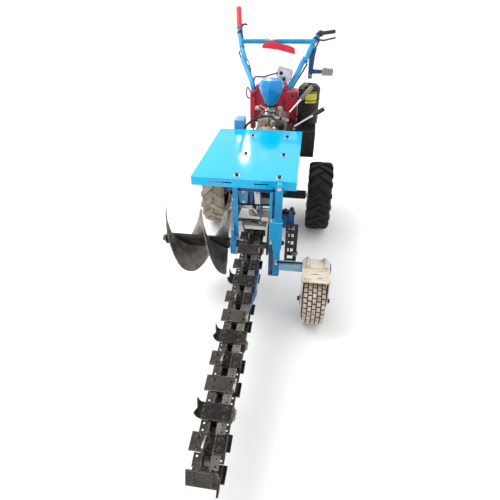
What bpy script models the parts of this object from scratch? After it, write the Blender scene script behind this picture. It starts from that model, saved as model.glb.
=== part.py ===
"""Walk-behind chain trencher: a two-wheel tractor with a chain boom, auger and depth wheel.

Metres, +Z up. +X is the depth-wheel side, -Y points to the boom tip, +Y to the handlebars.
Everything is laid out from a line 85 mm ahead of the main axle (y = 0) and the boom's centre
plane (x = 0), then the root empty moves the whole machine so that its origin is under the middle
of its bounding box.
"""
from math import asin, atan2, cos, hypot, pi, radians, sin

import bmesh
import bpy
from mathutils import Matrix, Vector

# ---------------------------------------------------------------- driving dimensions
GAP = 0.0003                       # clearance between pieces that touch

AXLE_Z = 0.235                     # also the radius of the main tyres
AXLE_Y = 0.085
TRACK = 0.72
TYRE_WIDTH = 0.16
RIM_RADIUS = 0.125
TYRE_STEPS = 28
AXLE_RADIUS = 0.015
HOUSING_RADIUS = 0.030

DECK_WIDTH = 0.522
DECK_LENGTH = 0.729
DECK_TOP = 0.700
DECK_X = -0.049
DECK_FRONT = -0.695
DECK_LIP = 0.045
DECK_SHEET = 0.003

RAIL_X = (-0.095, 0.115)           # the two columns of deck bolts
TUBE = 0.040                       # square tube of the frame
TUBE_WALL = 0.004

SHAFT_Y = -0.680                   # drive shaft, which the boom swings about
SHAFT_Z = 0.310
SHAFT_RADIUS = 0.018
CROSS_Y = -0.550                   # silver cross shaft above it
CROSS_Z = 0.476
CROSS_RADIUS = 0.012
PTO_X = -0.040
PTO_RADIUS = 0.014

BOOM_SLOPE = radians(6.7)
CHAIN_PITCH = 0.052
CHAIN_LINKS = 50
CUTTER_PHASE = 0.45                # links from the start of the upper run to the first cutter
DRIVE_TEETH = 8
TIP_TEETH = 6
CHAIN_INNER = 0.010                # chain body below and above its pitch line
CHAIN_OUTER = 0.006
CHAIN_WIDTH = 0.040
CUTTER_WIDTH = 0.120
CUTTER_LENGTH = 0.062
CUTTER_PLATE = 0.006
BLADE_HEIGHT = 0.036
BLADE_THICKNESS = 0.008
BOOM_HEIGHT = 0.044
BOOM_HALF_WIDTH = 0.030
BOOM_WING = 0.058                  # the bar is wider on the depth-wheel side near its root

AUGER_RADIUS = 0.178
AUGER_PITCH = 0.337
AUGER_LEFT = -0.491
AUGER_RIGHT = -0.130
AUGER_FLIGHTS = ((-0.470, -0.487), (-0.274, -0.358))     # each flight's top of the rim, and its start
AUGER_HUB = 0.032
AUGER_SHEET = 0.005

TRANSFER_X = 0.079
TRANSFER_WIDTH = 0.009
TRANSFER_CHAIN = 0.006
TRANSFER_SMALL = 0.028
TRANSFER_LARGE = 0.045

LEG_X = 0.133
LEG_TUBE = 0.035
LEG_BOTTOM = 0.178
LEG_TOP = 0.712
SLEEVE = 0.046
SLEEVE_BOTTOM = 0.349
SLEEVE_TOP = 0.512
CHANNEL_FRONT = -0.720
ARM = 0.038
ARM_Y = -0.780
ARM_Z = 0.262
ARM_END = 0.418

DEPTH_X = 0.342
DEPTH_Y = -0.875
DEPTH_RADIUS = 0.128
DEPTH_WIDTH = 0.118
DEPTH_RIM = 0.052
DEPTH_AXLE = 0.008

ENGINE_FRONT = 0.270
HANDLE_RADIUS = 0.019
BAR_RADIUS = 0.016
HINGE_Y = 0.790
HINGE_Z = 0.985
HINGE_LEFT = -0.272
HINGE_RIGHT = 0.186
KNUCKLE_RADIUS = 0.024
KNUCKLE_WIDTH = 0.018

# Orientations: where a shape's own X, Y and Z point.
FLAT = ((1, 0, 0), (0, 1, 0), (0, 0, 1))
SIDE = ((0, -1, 0), (0, 0, 1), (-1, 0, 0))      # drawn in the vertical plane along the machine
FRONT = ((1, 0, 0), (0, 0, 1), (0, -1, 0))      # drawn in the vertical plane across the machine
ALONG_X = ((0, 1, 0), (0, 0, 1), (1, 0, 0))     # a turned shape whose axis is X
ALONG_Y = ((0, 0, 1), (1, 0, 0), (0, 1, 0))
ALONG_Z = FLAT


def turned(axes):
    """Rotation that takes a shape's own axes to the given directions."""
    return Matrix(axes).transposed().to_4x4()


# ---------------------------------------------------------------- scene, looks and collections
def clear_scene():
    for obj in list(bpy.data.objects):
        bpy.data.objects.remove(obj, do_unlink=True)


def collection(name):
    made = bpy.data.collections.get(name) or bpy.data.collections.new(name)
    if made.name not in bpy.context.scene.collection.children:
        bpy.context.scene.collection.children.link(made)
    return made


LOOKS = {
    "sky_blue": ((0.01, 0.50, 0.85), 0.28, 0.0),
    "deep_blue": ((0.01, 0.12, 0.38), 0.40, 0.0),
    "red_paint": ((0.62, 0.02, 0.05), 0.40, 0.0),
    "cream_paint": ((0.78, 0.74, 0.62), 0.55, 0.0),
    "black_paint": ((0.02, 0.02, 0.022), 0.50, 0.0),
    "worn_steel": ((0.20, 0.17, 0.14), 0.45, 0.9),
    "dark_steel": ((0.06, 0.055, 0.05), 0.50, 0.8),
    "bright_steel": ((0.62, 0.62, 0.62), 0.30, 1.0),
    "cast_metal": ((0.16, 0.16, 0.16), 0.65, 0.6),
    "aluminium": ((0.55, 0.55, 0.54), 0.45, 0.9),
    "tyre_rubber": ((0.03, 0.03, 0.03), 0.85, 0.0),
    "black_rubber": ((0.025, 0.025, 0.025), 0.75, 0.0),
    "red_rubber": ((0.60, 0.03, 0.06), 0.60, 0.0),
    "grey_plastic": ((0.55, 0.55, 0.52), 0.50, 0.0),
    "black_plastic": ((0.02, 0.02, 0.02), 0.45, 0.0),
}


def look(name):
    """The Principled material of that name, made once."""
    made = bpy.data.materials.get(name)
    if made:
        return made
    made = bpy.data.materials.new(name)
    made.use_nodes = True
    colour, roughness, metallic = LOOKS[name]
    shader = made.node_tree.nodes["Principled BSDF"]
    shader.inputs["Base Color"].default_value = (*colour, 1.0)
    shader.inputs["Roughness"].default_value = roughness
    shader.inputs["Metallic"].default_value = metallic
    return made


def settle(obj, material, matrix, parent):
    """Put a new object in the parts collection with its material, place and parent."""
    PARTS.objects.link(obj)
    obj.data.materials.append(look(material))
    obj.parent = parent or ROOT
    obj.matrix_local = matrix
    return obj


def as_tool(obj):
    """A cutter or a piece merged into another: the object itself isn't a part."""
    PARTS.objects.unlink(obj)
    TOOLS.objects.link(obj)
    obj.hide_render = True
    obj.display_type = "WIRE"
    return obj


def combine(target, operand, operation):
    modifier = target.modifiers.new(operation.lower() + "_" + operand.name, "BOOLEAN")
    modifier.operation = operation
    modifier.solver = "EXACT"
    modifier.object = as_tool(operand)
    return target


def cut(target, cutter):
    return combine(target, cutter, "DIFFERENCE")


def join(target, piece):
    return combine(target, piece, "UNION")


def bevel(obj, width, segments=1):
    modifier = obj.modifiers.new("edges", "BEVEL")
    modifier.width = width
    modifier.segments = segments
    modifier.limit_method = "ANGLE"
    return obj


def empty(name, place, rotation=(0, 0, 0), parent=None):
    made = bpy.data.objects.new(name, None)
    PARTS.objects.link(made)
    made.parent = parent
    made.location = place
    made.rotation_euler = rotation
    return made


# ---------------------------------------------------------------- basic shapes
def box(name, size, centre, material, parent=None, rotation=None, edge=0.0):
    mesh = bpy.data.meshes.new(name)
    shape = bmesh.new()
    bmesh.ops.create_cube(shape, size=1.0)
    bmesh.ops.scale(shape, vec=size, verts=shape.verts)
    shape.to_mesh(mesh)
    shape.free()
    matrix = Matrix.Translation(centre) @ (rotation or Matrix.Identity(4))
    obj = settle(bpy.data.objects.new(name, mesh), material, matrix, parent)
    if edge:
        bevel(obj, edge)
    return obj


def spans(name, low, high, material, parent=None, edge=0.0):
    """A box given by its two opposite corners."""
    low, high = Vector(low), Vector(high)
    return box(name, high - low, (low + high) / 2, material, parent, edge=edge)


def cylinder(name, radius, length, centre, axes, material, parent=None, sides=20, end_radius=None):
    mesh = bpy.data.meshes.new(name)
    shape = bmesh.new()
    bmesh.ops.create_cone(shape, cap_ends=True, segments=sides, radius1=radius,
                          radius2=radius if end_radius is None else end_radius, depth=length)
    shape.to_mesh(mesh)
    shape.free()
    smooth(mesh)
    matrix = Matrix.Translation(centre) @ turned(axes)
    return settle(bpy.data.objects.new(name, mesh), material, matrix, parent)


def smooth(mesh):
    mesh.shade_smooth()
    mesh.set_sharp_from_angle(angle=radians(35))


def lathe(name, profile, centre, axes, material, parent=None, steps=24, ring=True):
    """Turn a profile of (radius, height) points that runs down its outer side."""
    mesh = bpy.data.meshes.new(name)
    points = [(radius, 0.0, height) for radius, height in profile]
    edges = [(i, i + 1) for i in range(len(points) - 1)]
    if ring:
        edges.append((len(points) - 1, 0))
    mesh.from_pydata(points, edges, [])
    matrix = Matrix.Translation(centre) @ turned(axes)
    obj = settle(bpy.data.objects.new(name, mesh), material, matrix, parent)
    modifier = obj.modifiers.new("turn", "SCREW")
    modifier.steps = steps
    modifier.render_steps = steps
    modifier.use_merge_vertices = True
    modifier.merge_threshold = 0.0001
    modifier.use_smooth_shade = True
    return obj


def shaft_profile(stations):
    """Closed lathe profile of a stepped shaft: (position, radius) pairs give each step's start."""
    outline = []
    for (start, radius), (end, _) in zip(stations, stations[1:]):
        outline += [(radius, start), (radius, end)]
    outline = [(0.0, stations[0][0])] + outline + [(0.0, stations[-1][0])]
    return list(reversed(outline))


def rod(name, points, radius, material, parent=None, resolution=2):
    """A round bar or tube along a list of points, with filled ends."""
    curve = bpy.data.curves.new(name, "CURVE")
    curve.dimensions = "3D"
    curve.bevel_depth = radius
    curve.bevel_resolution = resolution
    curve.use_fill_caps = True
    spline = curve.splines.new("POLY")
    spline.points.add(len(points) - 1)
    for point, place in zip(spline.points, points):
        point.co = (*place, 1.0)
    return settle(bpy.data.objects.new(name, curve), material, Matrix.Identity(4), parent)


def plate(name, outline, thickness, centre, axes, material, parent=None, holes=()):
    """A flat outline, with holes if any, extruded to its thickness."""
    curve = bpy.data.curves.new(name, "CURVE")
    curve.dimensions = "2D"
    curve.fill_mode = "BOTH"
    curve.extrude = thickness / 2
    for loop in (outline, *holes):
        spline = curve.splines.new("POLY")
        spline.points.add(len(loop) - 1)
        spline.use_cyclic_u = True
        for point, (x, y) in zip(spline.points, loop):
            point.co = (x, y, 0.0, 1.0)
    matrix = Matrix.Translation(centre) @ turned(axes)
    return settle(bpy.data.objects.new(name, curve), material, matrix, parent)


def meshed(obj):
    """The curve object as a mesh object with welded caps, so that it can take a Boolean."""
    bpy.context.view_layer.update()
    graph = bpy.context.evaluated_depsgraph_get()
    mesh = bpy.data.meshes.new_from_object(obj.evaluated_get(graph))
    shape = bmesh.new()
    shape.from_mesh(mesh)
    bmesh.ops.remove_doubles(shape, verts=shape.verts, dist=0.00001)
    bmesh.ops.recalc_face_normals(shape, faces=shape.faces)
    shape.to_mesh(mesh)
    shape.free()
    smooth(mesh)
    name, matrix, parent = obj.name, obj.matrix_world.copy(), obj.parent
    bpy.data.objects.remove(obj, do_unlink=True)
    made = bpy.data.objects.new(name, mesh)
    PARTS.objects.link(made)
    made.parent = parent
    made.matrix_world = matrix
    return made


def square_tube(name, size, length, wall, centre, along, material, parent=None):
    """A hollow square tube, open at both ends, along X, Y or Z."""
    axis = "xyz".index(along)
    outer = [size] * 3
    outer[axis] = length
    inner = [size - 2 * wall] * 3
    inner[axis] = 2 * length
    tube = box(name, outer, centre, material, parent)
    return cut(tube, box(name + "_bore", inner, centre, material, parent))


def open_shell(name, low, high, wall, missing, material, parent=None, edge=0.0):
    """A sheet box with one side missing, such as "-z" for an open bottom."""
    shell = spans(name, low, high, material, parent, edge)
    low, high = Vector(low), Vector(high)
    axis = "xyz".index(missing[1])
    inner_low = low + Vector((wall, wall, wall))
    inner_high = high - Vector((wall, wall, wall))
    if missing[0] == "-":
        inner_low[axis] = low[axis] - wall
    else:
        inner_high[axis] = high[axis] + wall
    return cut(shell, spans(name + "_hollow", inner_low, inner_high, material, parent))


def arc(centre, radius, start, end, steps):
    """Points on a circular arc, both ends included, angles in radians."""
    turns = [start + (end - start) * i / steps for i in range(steps + 1)]
    return [(centre[0] + radius * cos(a), centre[1] + radius * sin(a)) for a in turns]


def smooth_path(points, samples=5):
    """Catmull-Rom points through a list of route points."""
    ends = [points[0] * 2 - points[1]] + points + [points[-1] * 2 - points[-2]]
    path = []
    for a, b, c, d in zip(ends, ends[1:], ends[2:], ends[3:]):
        for i in range(samples):
            t = i / samples
            path.append(0.5 * (2 * b + (c - a) * t + (2 * a - 5 * b + 4 * c - d) * t * t
                               + (3 * b - a - 3 * c + d) * t * t * t))
    return path + [points[-1]]


# ---------------------------------------------------------------- endless chains
def sprocket_radius(teeth):
    return CHAIN_PITCH / (2 * sin(pi / teeth))


class Loop:
    """A chain round two circles in the plane (along, up): the first at the origin."""

    def __init__(self, first, second, distance):
        self.first, self.second, self.distance = first, second, distance
        self.lean = asin((first - second) / distance)
        self.straight = distance * cos(self.lean)
        self.length = (2 * self.straight + first * (pi + 2 * self.lean)
                       + second * (pi - 2 * self.lean))

    def outline(self, offset, steps=10):
        """The closed outline at an offset outside the pitch line."""
        top = pi / 2 - self.lean
        far = arc((self.distance, 0.0), self.second + offset, -top, top, steps)
        near = arc((0.0, 0.0), self.first + offset, top, 2 * pi - top, steps)
        return far + near

    def at(self, travelled):
        """Place and heading after a distance from the start of the upper run."""
        travelled %= self.length
        top = pi / 2 - self.lean
        far_arc = self.second * 2 * top
        if travelled < self.straight:
            place = Vector((self.first * cos(top), self.first * sin(top)))
            return place + travelled * Vector((cos(self.lean), -sin(self.lean))), top
        travelled -= self.straight
        if travelled < far_arc:
            angle = top - travelled / self.second
            place = Vector((self.distance + self.second * cos(angle), self.second * sin(angle)))
            return place, angle
        travelled -= far_arc
        if travelled < self.straight:
            place = Vector((self.distance + self.second * cos(top), -self.second * sin(top)))
            return place - travelled * Vector((cos(self.lean), sin(self.lean))), -top
        travelled -= self.straight
        angle = -top - travelled / self.first
        return Vector((self.first * cos(angle), self.first * sin(angle))), angle


def boom_distance():
    """Shaft distance that makes the digging chain exactly its number of links long."""
    wanted = CHAIN_LINKS * CHAIN_PITCH
    distance = wanted / 2
    for _ in range(20):
        loop = Loop(sprocket_radius(DRIVE_TEETH), sprocket_radius(TIP_TEETH), distance)
        distance += (wanted - loop.length) / 2
    return distance


BOOM_LENGTH = boom_distance()
DIGGING_LOOP = Loop(sprocket_radius(DRIVE_TEETH), sprocket_radius(TIP_TEETH), BOOM_LENGTH)


# ---------------------------------------------------------------- main wheels and axle
def tyre_profile(radius, width, bead, wall):
    """Hollow tyre section, open towards the rim, as a closed lathe profile."""
    half = width / 2
    inner = radius - wall
    bead /= cos(pi / TYRE_STEPS)
    return [(bead, half * 0.66), (bead + 0.4 * (radius - bead), half), (radius * 0.93, half * 0.96),
            (radius, half * 0.62), (radius, -half * 0.62), (radius * 0.93, -half * 0.96),
            (bead + 0.4 * (radius - bead), -half), (bead, -half * 0.66), (bead, -half * 0.66 + wall),
            (inner * 0.94, -half * 0.80), (inner, -half * 0.55), (inner, half * 0.55),
            (inner * 0.94, half * 0.80), (bead, half * 0.66 - wall)]


def rim_profile(radius, half_width, hub, bore):
    sheet = 0.004
    barrel = radius - GAP
    return [(barrel, half_width), (barrel, -half_width), (barrel - sheet, -half_width),
            (barrel - sheet, -sheet), (hub, -sheet), (hub, -half_width), (bore, -half_width),
            (bore, half_width), (hub, half_width), (hub, sheet), (barrel - sheet, sheet),
            (barrel - sheet, half_width)]


def main_wheels():
    cylinder("axle_shaft", AXLE_RADIUS, TRACK + 0.11, (0, AXLE_Y, AXLE_Z), ALONG_X, "bright_steel")
    for side, sign in (("left", -1), ("right", 1)):
        centre = (sign * TRACK / 2, AXLE_Y, AXLE_Z)
        lathe("tyre_" + side, tyre_profile(AXLE_Z, TYRE_WIDTH, RIM_RADIUS + GAP, 0.014), centre,
              ALONG_X, "tyre_rubber", steps=TYRE_STEPS)
        lathe("rim_" + side, rim_profile(RIM_RADIUS, 0.054, 0.032, AXLE_RADIUS + 0.0006), centre,
              ALONG_X, "black_paint", steps=24)


def transaxle():
    housing = [(HOUSING_RADIUS, 0.27), (HOUSING_RADIUS, -0.27), (0.020, -0.27), (0.020, 0.27)]
    lathe("axle_housing", housing, (0, AXLE_Y, AXLE_Z), ALONG_X, "black_paint", steps=20)
    case = spans("transaxle_case", (-0.105, -0.16, 0.165), (0.105, ENGINE_FRONT - GAP, 0.54),
                 "cast_metal", edge=0.014)
    cut(case, spans("transaxle_hollow", (-0.096, -0.151, 0.174), (0.096, 0.26, 0.531), "cast_metal"))
    cut(case, cylinder("housing_bore", HOUSING_RADIUS + 0.001, 0.5, (0, AXLE_Y, AXLE_Z), ALONG_X,
                       "cast_metal"))
    cut(case, cylinder("pto_bore", PTO_RADIUS + 0.001, 0.1, (PTO_X, -0.16, CROSS_Z), ALONG_Y,
                       "cast_metal"))


# ---------------------------------------------------------------- frame and deck
def deck():
    left = DECK_X - DECK_WIDTH / 2
    right = DECK_X + DECK_WIDTH / 2
    rear = DECK_FRONT + DECK_LENGTH
    cover = open_shell("deck_cover", (left, DECK_FRONT, DECK_TOP - DECK_LIP), (right, rear, DECK_TOP),
                       DECK_SHEET, "-z", "sky_blue")
    for number, (start, end) in enumerate(((-0.225, -0.105), (0.005, 0.080))):
        cut(cover, spans("lip_slot_%d" % number, (start, DECK_FRONT - 0.01, DECK_TOP - 0.026),
                         (end, DECK_FRONT + 0.01, DECK_TOP - 0.018), "sky_blue"))


def frame():
    rail_z = DECK_TOP - DECK_SHEET - GAP - TUBE / 2
    front = -0.655
    rear = DECK_FRONT + DECK_LENGTH - DECK_SHEET - GAP
    for side, x in zip(("left", "right"), RAIL_X):
        square_tube("frame_rail_" + side, TUBE, rear - front, TUBE_WALL,
                    (x, (front + rear) / 2, rail_z), "y", "deep_blue")
    beam_z = rail_z - TUBE - GAP
    square_tube("frame_front_beam", TUBE, 0.30, TUBE_WALL, (0.012, front + TUBE / 2, beam_z), "x",
                "deep_blue")
    top = rail_z - TUBE / 2 - GAP
    outline = [(-0.14, top), (-0.14, top - 0.010), (-0.1174, top - 0.010), (-0.1174, 0.30),
               (-0.1054, 0.30), (-0.1054, top - 0.010), (0.1054, top - 0.010), (0.1054, 0.30),
               (0.1174, 0.30), (0.1174, top - 0.010), (0.14, top - 0.010), (0.14, top)]
    plate("frame_saddle", outline, 0.15, (0, -0.045, 0), FRONT, "deep_blue")


def left_post():
    """Angle-iron post welded to the drive shaft's left bearing plate."""
    angle = [(-0.103, -0.690), (-0.078, -0.690), (-0.078, -0.685), (-0.098, -0.685),
             (-0.098, -0.6555), (-0.103, -0.6555)]
    foot = SHAFT_Z + 0.054
    height = 0.693 - foot
    post = meshed(plate("left_post", angle, height, (0, 0, foot + height / 2), FLAT, "sky_blue"))
    join(post, cylinder("bearing_plate", 0.061, 0.030, (-0.101, SHAFT_Y, SHAFT_Z), ALONG_X,
                        "sky_blue", sides=24))
    cut(post, cylinder("bearing_bore", SHAFT_RADIUS + 0.0008, 0.08, (-0.101, SHAFT_Y, SHAFT_Z),
                       ALONG_X, "sky_blue", sides=24))


def right_channel():
    """Channel that holds the shaft's right end and the leg sleeve, with the rack's guide plate."""
    left, right, back, wall = 0.088, 0.145, -0.6555, 0.006
    section = [(left, CHANNEL_FRONT), (right, CHANNEL_FRONT), (right, back), (right - wall, back),
               (right - wall, CHANNEL_FRONT + wall), (left + wall, CHANNEL_FRONT + wall),
               (left + wall, back), (left, back)]
    low, high = 0.135, 0.6545
    channel = meshed(plate("right_channel", section, high - low, (0, 0, (low + high) / 2), FLAT,
                           "deep_blue"))
    cut(channel, cylinder("channel_bore", SHAFT_RADIUS + 0.0008, 0.03, (left, SHAFT_Y, SHAFT_Z),
                          ALONG_X, "deep_blue", sides=24))
    join(channel, spans("rack_guide", (right - wall / 2, -0.718, 0.455), (0.212, -0.712, 0.560),
                        "deep_blue"))


# ---------------------------------------------------------------- depth wheel
def leg():
    leg_y = CHANNEL_FRONT - SLEEVE / 2 - GAP
    square_tube("leg_sleeve", SLEEVE, SLEEVE_TOP - SLEEVE_BOTTOM, (SLEEVE - LEG_TUBE) / 2 - GAP,
                (LEG_X, leg_y, (SLEEVE_TOP + SLEEVE_BOTTOM) / 2), "z", "sky_blue")
    square_tube("leg_tube", LEG_TUBE, LEG_TOP - LEG_BOTTOM, TUBE_WALL,
                (LEG_X, leg_y, (LEG_TOP + LEG_BOTTOM) / 2), "z", "sky_blue")
    start = LEG_X + LEG_TUBE / 2 + GAP
    square_tube("cross_arm", ARM, ARM_END - start, TUBE_WALL, ((start + ARM_END) / 2, ARM_Y, ARM_Z),
                "x", "sky_blue")


def adjuster_rack():
    """Two black bars with rungs between them, standing on the arm."""
    foot = ARM_Z + ARM / 2 + GAP
    top = 0.505
    middle = 0.205
    rack = spans("adjuster_rack", (middle - 0.031, -0.772, foot), (middle + 0.031, -0.738, top),
                 "black_paint")
    windows = 4
    step = (top - foot) / windows
    for number in range(windows):
        low = foot + step * number + 0.012
        cut(rack, spans("rack_window_%d" % number, (middle - 0.014, -0.80, low),
                        (middle + 0.014, -0.70, low + step - 0.024), "black_paint"))


def wheel_bracket():
    """Painted fork: a plate over the arm and a cheek on each side of the depth wheel."""
    top = ARM_Z + ARM / 2 + GAP
    half = 0.070
    bracket = spans("wheel_bracket", (DEPTH_X - half, -0.925, top), (DEPTH_X + half, -0.752, top + 0.008),
                    "cream_paint")
    front = ARM_Y - ARM / 2 - 0.006
    outline = [(-front, top + 0.008), (0.922, top + 0.008), (0.922, 0.225), (0.905, 0.112),
               (0.885, 0.098), (0.862, 0.100), (-front, 0.205)]
    for name, sign in (("cheek_left", -1), ("cheek_right", 1)):
        centre = (DEPTH_X + sign * (half - 0.003), 0, 0)
        join(bracket, meshed(plate(name, outline, 0.006, centre, SIDE, "cream_paint")))
    cut(bracket, cylinder("axle_bore", DEPTH_AXLE + 0.0006, 0.2, (DEPTH_X, DEPTH_Y, DEPTH_RADIUS),
                          ALONG_X, "cream_paint", sides=16))


def depth_wheel():
    centre = (DEPTH_X, DEPTH_Y, DEPTH_RADIUS)
    cylinder("depth_axle", DEPTH_AXLE, 0.160, centre, ALONG_X, "bright_steel", sides=12)
    lathe("depth_tyre", tyre_profile(DEPTH_RADIUS, DEPTH_WIDTH, DEPTH_RIM + GAP, 0.009), centre,
          ALONG_X, "tyre_rubber", steps=TYRE_STEPS)
    lathe("depth_rim", rim_profile(DEPTH_RIM, 0.032, 0.016, DEPTH_AXLE + 0.0006), centre, ALONG_X,
          "cream_paint", steps=20)


# ---------------------------------------------------------------- drive
def drive_case():
    case = spans("drive_case", (-0.100, -0.612, 0.412), (0.030, -0.468, 0.6095), "sky_blue", edge=0.010)
    cut(case, spans("case_hollow", (-0.092, -0.604, 0.420), (0.022, -0.476, 0.60), "sky_blue"))
    cut(case, cylinder("cross_bore", CROSS_RADIUS + 0.0008, 0.3, (0, CROSS_Y, CROSS_Z), ALONG_X,
                       "sky_blue"))
    cut(case, cylinder("pto_case_bore", PTO_RADIUS + 0.0008, 0.06, (PTO_X, -0.468, CROSS_Z), ALONG_Y,
                       "sky_blue"))


def drive_shafts():
    """Power take-off shaft, cross shaft and drive shaft with their gears and sprockets."""
    small, large = 0.020, 0.045      # bevel gears: the cones share their tip on both axes
    pto = [(0.0, 0.400), (PTO_RADIUS, 0.400), (PTO_RADIUS, large + 0.010), (large, large + 0.004),
           (large, large), (small, small), (0.0, small)]
    lathe("pto_shaft", pto, (PTO_X, CROSS_Y, CROSS_Z), ALONG_Y, "bright_steel", ring=False)

    left, right = -0.112 - PTO_X, 0.086 - PTO_X
    sprocket = TRANSFER_X - PTO_X
    half = TRANSFER_WIDTH / 2
    cone = large + 0.001
    cross = [(0.0, right), (CROSS_RADIUS, right), (CROSS_RADIUS, sprocket + half),
             (TRANSFER_SMALL, sprocket + half), (TRANSFER_SMALL, sprocket - half),
             (CROSS_RADIUS, sprocket - half), (CROSS_RADIUS, cone + 0.008), (large - 0.002, cone + 0.004),
             (large - 0.002, cone), (small - 0.002, small + 0.001), (CROSS_RADIUS, small + 0.001),
             (CROSS_RADIUS, left), (0.0, left)]
    lathe("cross_shaft", cross, (PTO_X, CROSS_Y, CROSS_Z), ALONG_X, "bright_steel", ring=False)

    disc, disc_half = sprocket_radius(DRIVE_TEETH) - CHAIN_INNER - 0.0035, 0.008
    drive = [(0.0, 0.0935), (SHAFT_RADIUS, 0.0935), (SHAFT_RADIUS, TRANSFER_X + half),
             (TRANSFER_LARGE, TRANSFER_X + half), (TRANSFER_LARGE, TRANSFER_X - half),
             (SHAFT_RADIUS, TRANSFER_X - half), (SHAFT_RADIUS, disc_half), (disc, disc_half),
             (disc, -disc_half), (SHAFT_RADIUS, -disc_half), (SHAFT_RADIUS, -0.505), (0.0, -0.505)]
    lathe("drive_shaft", drive, (0, SHAFT_Y, SHAFT_Z), ALONG_X, "worn_steel", ring=False)


def transfer_chain():
    """Closed drive chain between the cross shaft and the drive shaft."""
    distance = hypot(CROSS_Y - SHAFT_Y, CROSS_Z - SHAFT_Z)
    slope = atan2(CROSS_Z - SHAFT_Z, CROSS_Y - SHAFT_Y)
    clearance = 0.0012
    loop = Loop(TRANSFER_LARGE + clearance, TRANSFER_SMALL + clearance, distance)
    axes = ((0, cos(slope), sin(slope)), (0, -sin(slope), cos(slope)), (1, 0, 0))
    plate("transfer_chain", loop.outline(TRANSFER_CHAIN), TRANSFER_WIDTH,
          (TRANSFER_X, SHAFT_Y, SHAFT_Z), axes, "dark_steel", holes=(loop.outline(0.0),))


def auger():
    """Hub sleeve on the drive shaft with two helical flights."""
    length = AUGER_RIGHT - AUGER_LEFT
    centre = ((AUGER_LEFT + AUGER_RIGHT) / 2, SHAFT_Y, SHAFT_Z)
    hub = [(AUGER_HUB, length / 2), (AUGER_HUB, -length / 2), (SHAFT_RADIUS + 0.0006, -length / 2),
           (SHAFT_RADIUS + 0.0006, length / 2)]
    body = lathe("auger", hub, centre, ALONG_X, "worn_steel")
    for number, (top, start) in enumerate(AUGER_FLIGHTS):
        join(body, auger_flight("auger_flight_%d" % number, top, start))


def auger_flight(name, top, start):
    """A helical sheet from its start to near the hub's right end."""
    steps = 36
    end = AUGER_RIGHT - 0.008
    shape = bmesh.new()
    rows = []
    for i in range(steps + 1):
        x = start + (end - start) * i / steps
        angle = pi / 2 + 2 * pi * (x - top) / AUGER_PITCH
        rows.append([shape.verts.new((radius * cos(angle), radius * sin(angle), x))
                     for radius in (SHAFT_RADIUS + 0.006, AUGER_RADIUS)])
    for near, far in zip(rows, rows[1:]):
        shape.faces.new((near[0], near[1], far[1], far[0]))
    mesh = bpy.data.meshes.new(name)
    shape.to_mesh(mesh)
    shape.free()
    matrix = Matrix.Translation((0, SHAFT_Y, SHAFT_Z)) @ turned(ALONG_X)
    flight = settle(bpy.data.objects.new(name, mesh), "worn_steel", matrix, None)
    modifier = flight.modifiers.new("sheet", "SOLIDIFY")
    modifier.thickness = AUGER_SHEET
    modifier.offset = 0.0
    return flight


# ---------------------------------------------------------------- boom
def boom_bar():
    """Bar between the chain's runs, forked at both ends, with a wing beside its root."""
    half, wing = BOOM_HALF_WIDTH, BOOM_WING
    root, tip = -0.036, BOOM_LENGTH + 0.024
    outline = [(root, -half), (root, half), (0.150, half), (0.190, wing), (0.36, wing), (0.50, half),
               (tip, half), (tip, -half)]
    axes = ((0, -1, 0), (1, 0, 0), (0, 0, 1))
    bar = meshed(plate("boom_bar", outline, BOOM_HEIGHT, (0, 0, 0), axes, "sky_blue", BOOM))
    slot = 0.024
    cut(bar, box("root_fork", (slot, 0.160, 0.1), (0, 0, 0), "sky_blue", BOOM))
    cut(bar, box("tip_fork", (slot, 0.130, 0.1), (0, -BOOM_LENGTH, 0), "sky_blue", BOOM))
    for number in range(4):
        centre = (0, -(0.250 + 0.215 * number), 0)
        cut(bar, box("bar_window_%d" % number, (0.038, 0.175, 0.1), centre, "sky_blue", BOOM))
    cut(bar, cylinder("root_bore", SHAFT_RADIUS + 0.0008, 0.1, (0, 0, 0), ALONG_X, "sky_blue", BOOM,
                      sides=24))
    cut(bar, cylinder("tip_bore", 0.0108, 0.1, (0, -BOOM_LENGTH, 0), ALONG_X, "sky_blue", BOOM,
                      sides=16))


def tip_sprocket():
    radius = sprocket_radius(TIP_TEETH) - CHAIN_INNER - 0.003
    profile = shaft_profile([(-0.029, 0.010), (-0.008, radius), (0.008, 0.010), (0.029, 0.010)])
    lathe("tip_sprocket", profile, (0, -BOOM_LENGTH, 0), ALONG_X, "worn_steel", BOOM, ring=False)


def digging_chain():
    """Link belt with a cutter plate and an upright blade on every second link."""
    belt = meshed(plate("digging_chain", DIGGING_LOOP.outline(CHAIN_OUTER), CHAIN_WIDTH, (0, 0, 0), SIDE,
                        "dark_steel", BOOM, (DIGGING_LOOP.outline(-CHAIN_INNER),)))
    plates = bmesh.new()
    blades = bmesh.new()
    sunk = 0.0012
    for number in range(CHAIN_LINKS // 2):
        place, heading = DIGGING_LOOP.at(CHAIN_PITCH * (2 * number + CUTTER_PHASE))
        outward = Vector((cos(heading), sin(heading)))
        turn = turned(SIDE) @ Matrix.Rotation(heading - pi / 2, 4, "Z")
        shift = (-0.014, 0.0, 0.014)[number % 3]
        base = place + outward * (CHAIN_OUTER - sunk + CUTTER_PLATE / 2)
        add_box(plates, (CUTTER_LENGTH, CUTTER_PLATE, CUTTER_WIDTH), base, -shift, turn)
        upright = place + outward * (CHAIN_OUTER + CUTTER_PLATE - 2 * sunk + BLADE_HEIGHT / 2)
        add_box(blades, (BLADE_THICKNESS, BLADE_HEIGHT, 0.07), upright, -2 * shift, turn)
    join(belt, loose_mesh("cutter_plates", plates))
    join(belt, loose_mesh("cutter_blades", blades))


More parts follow.
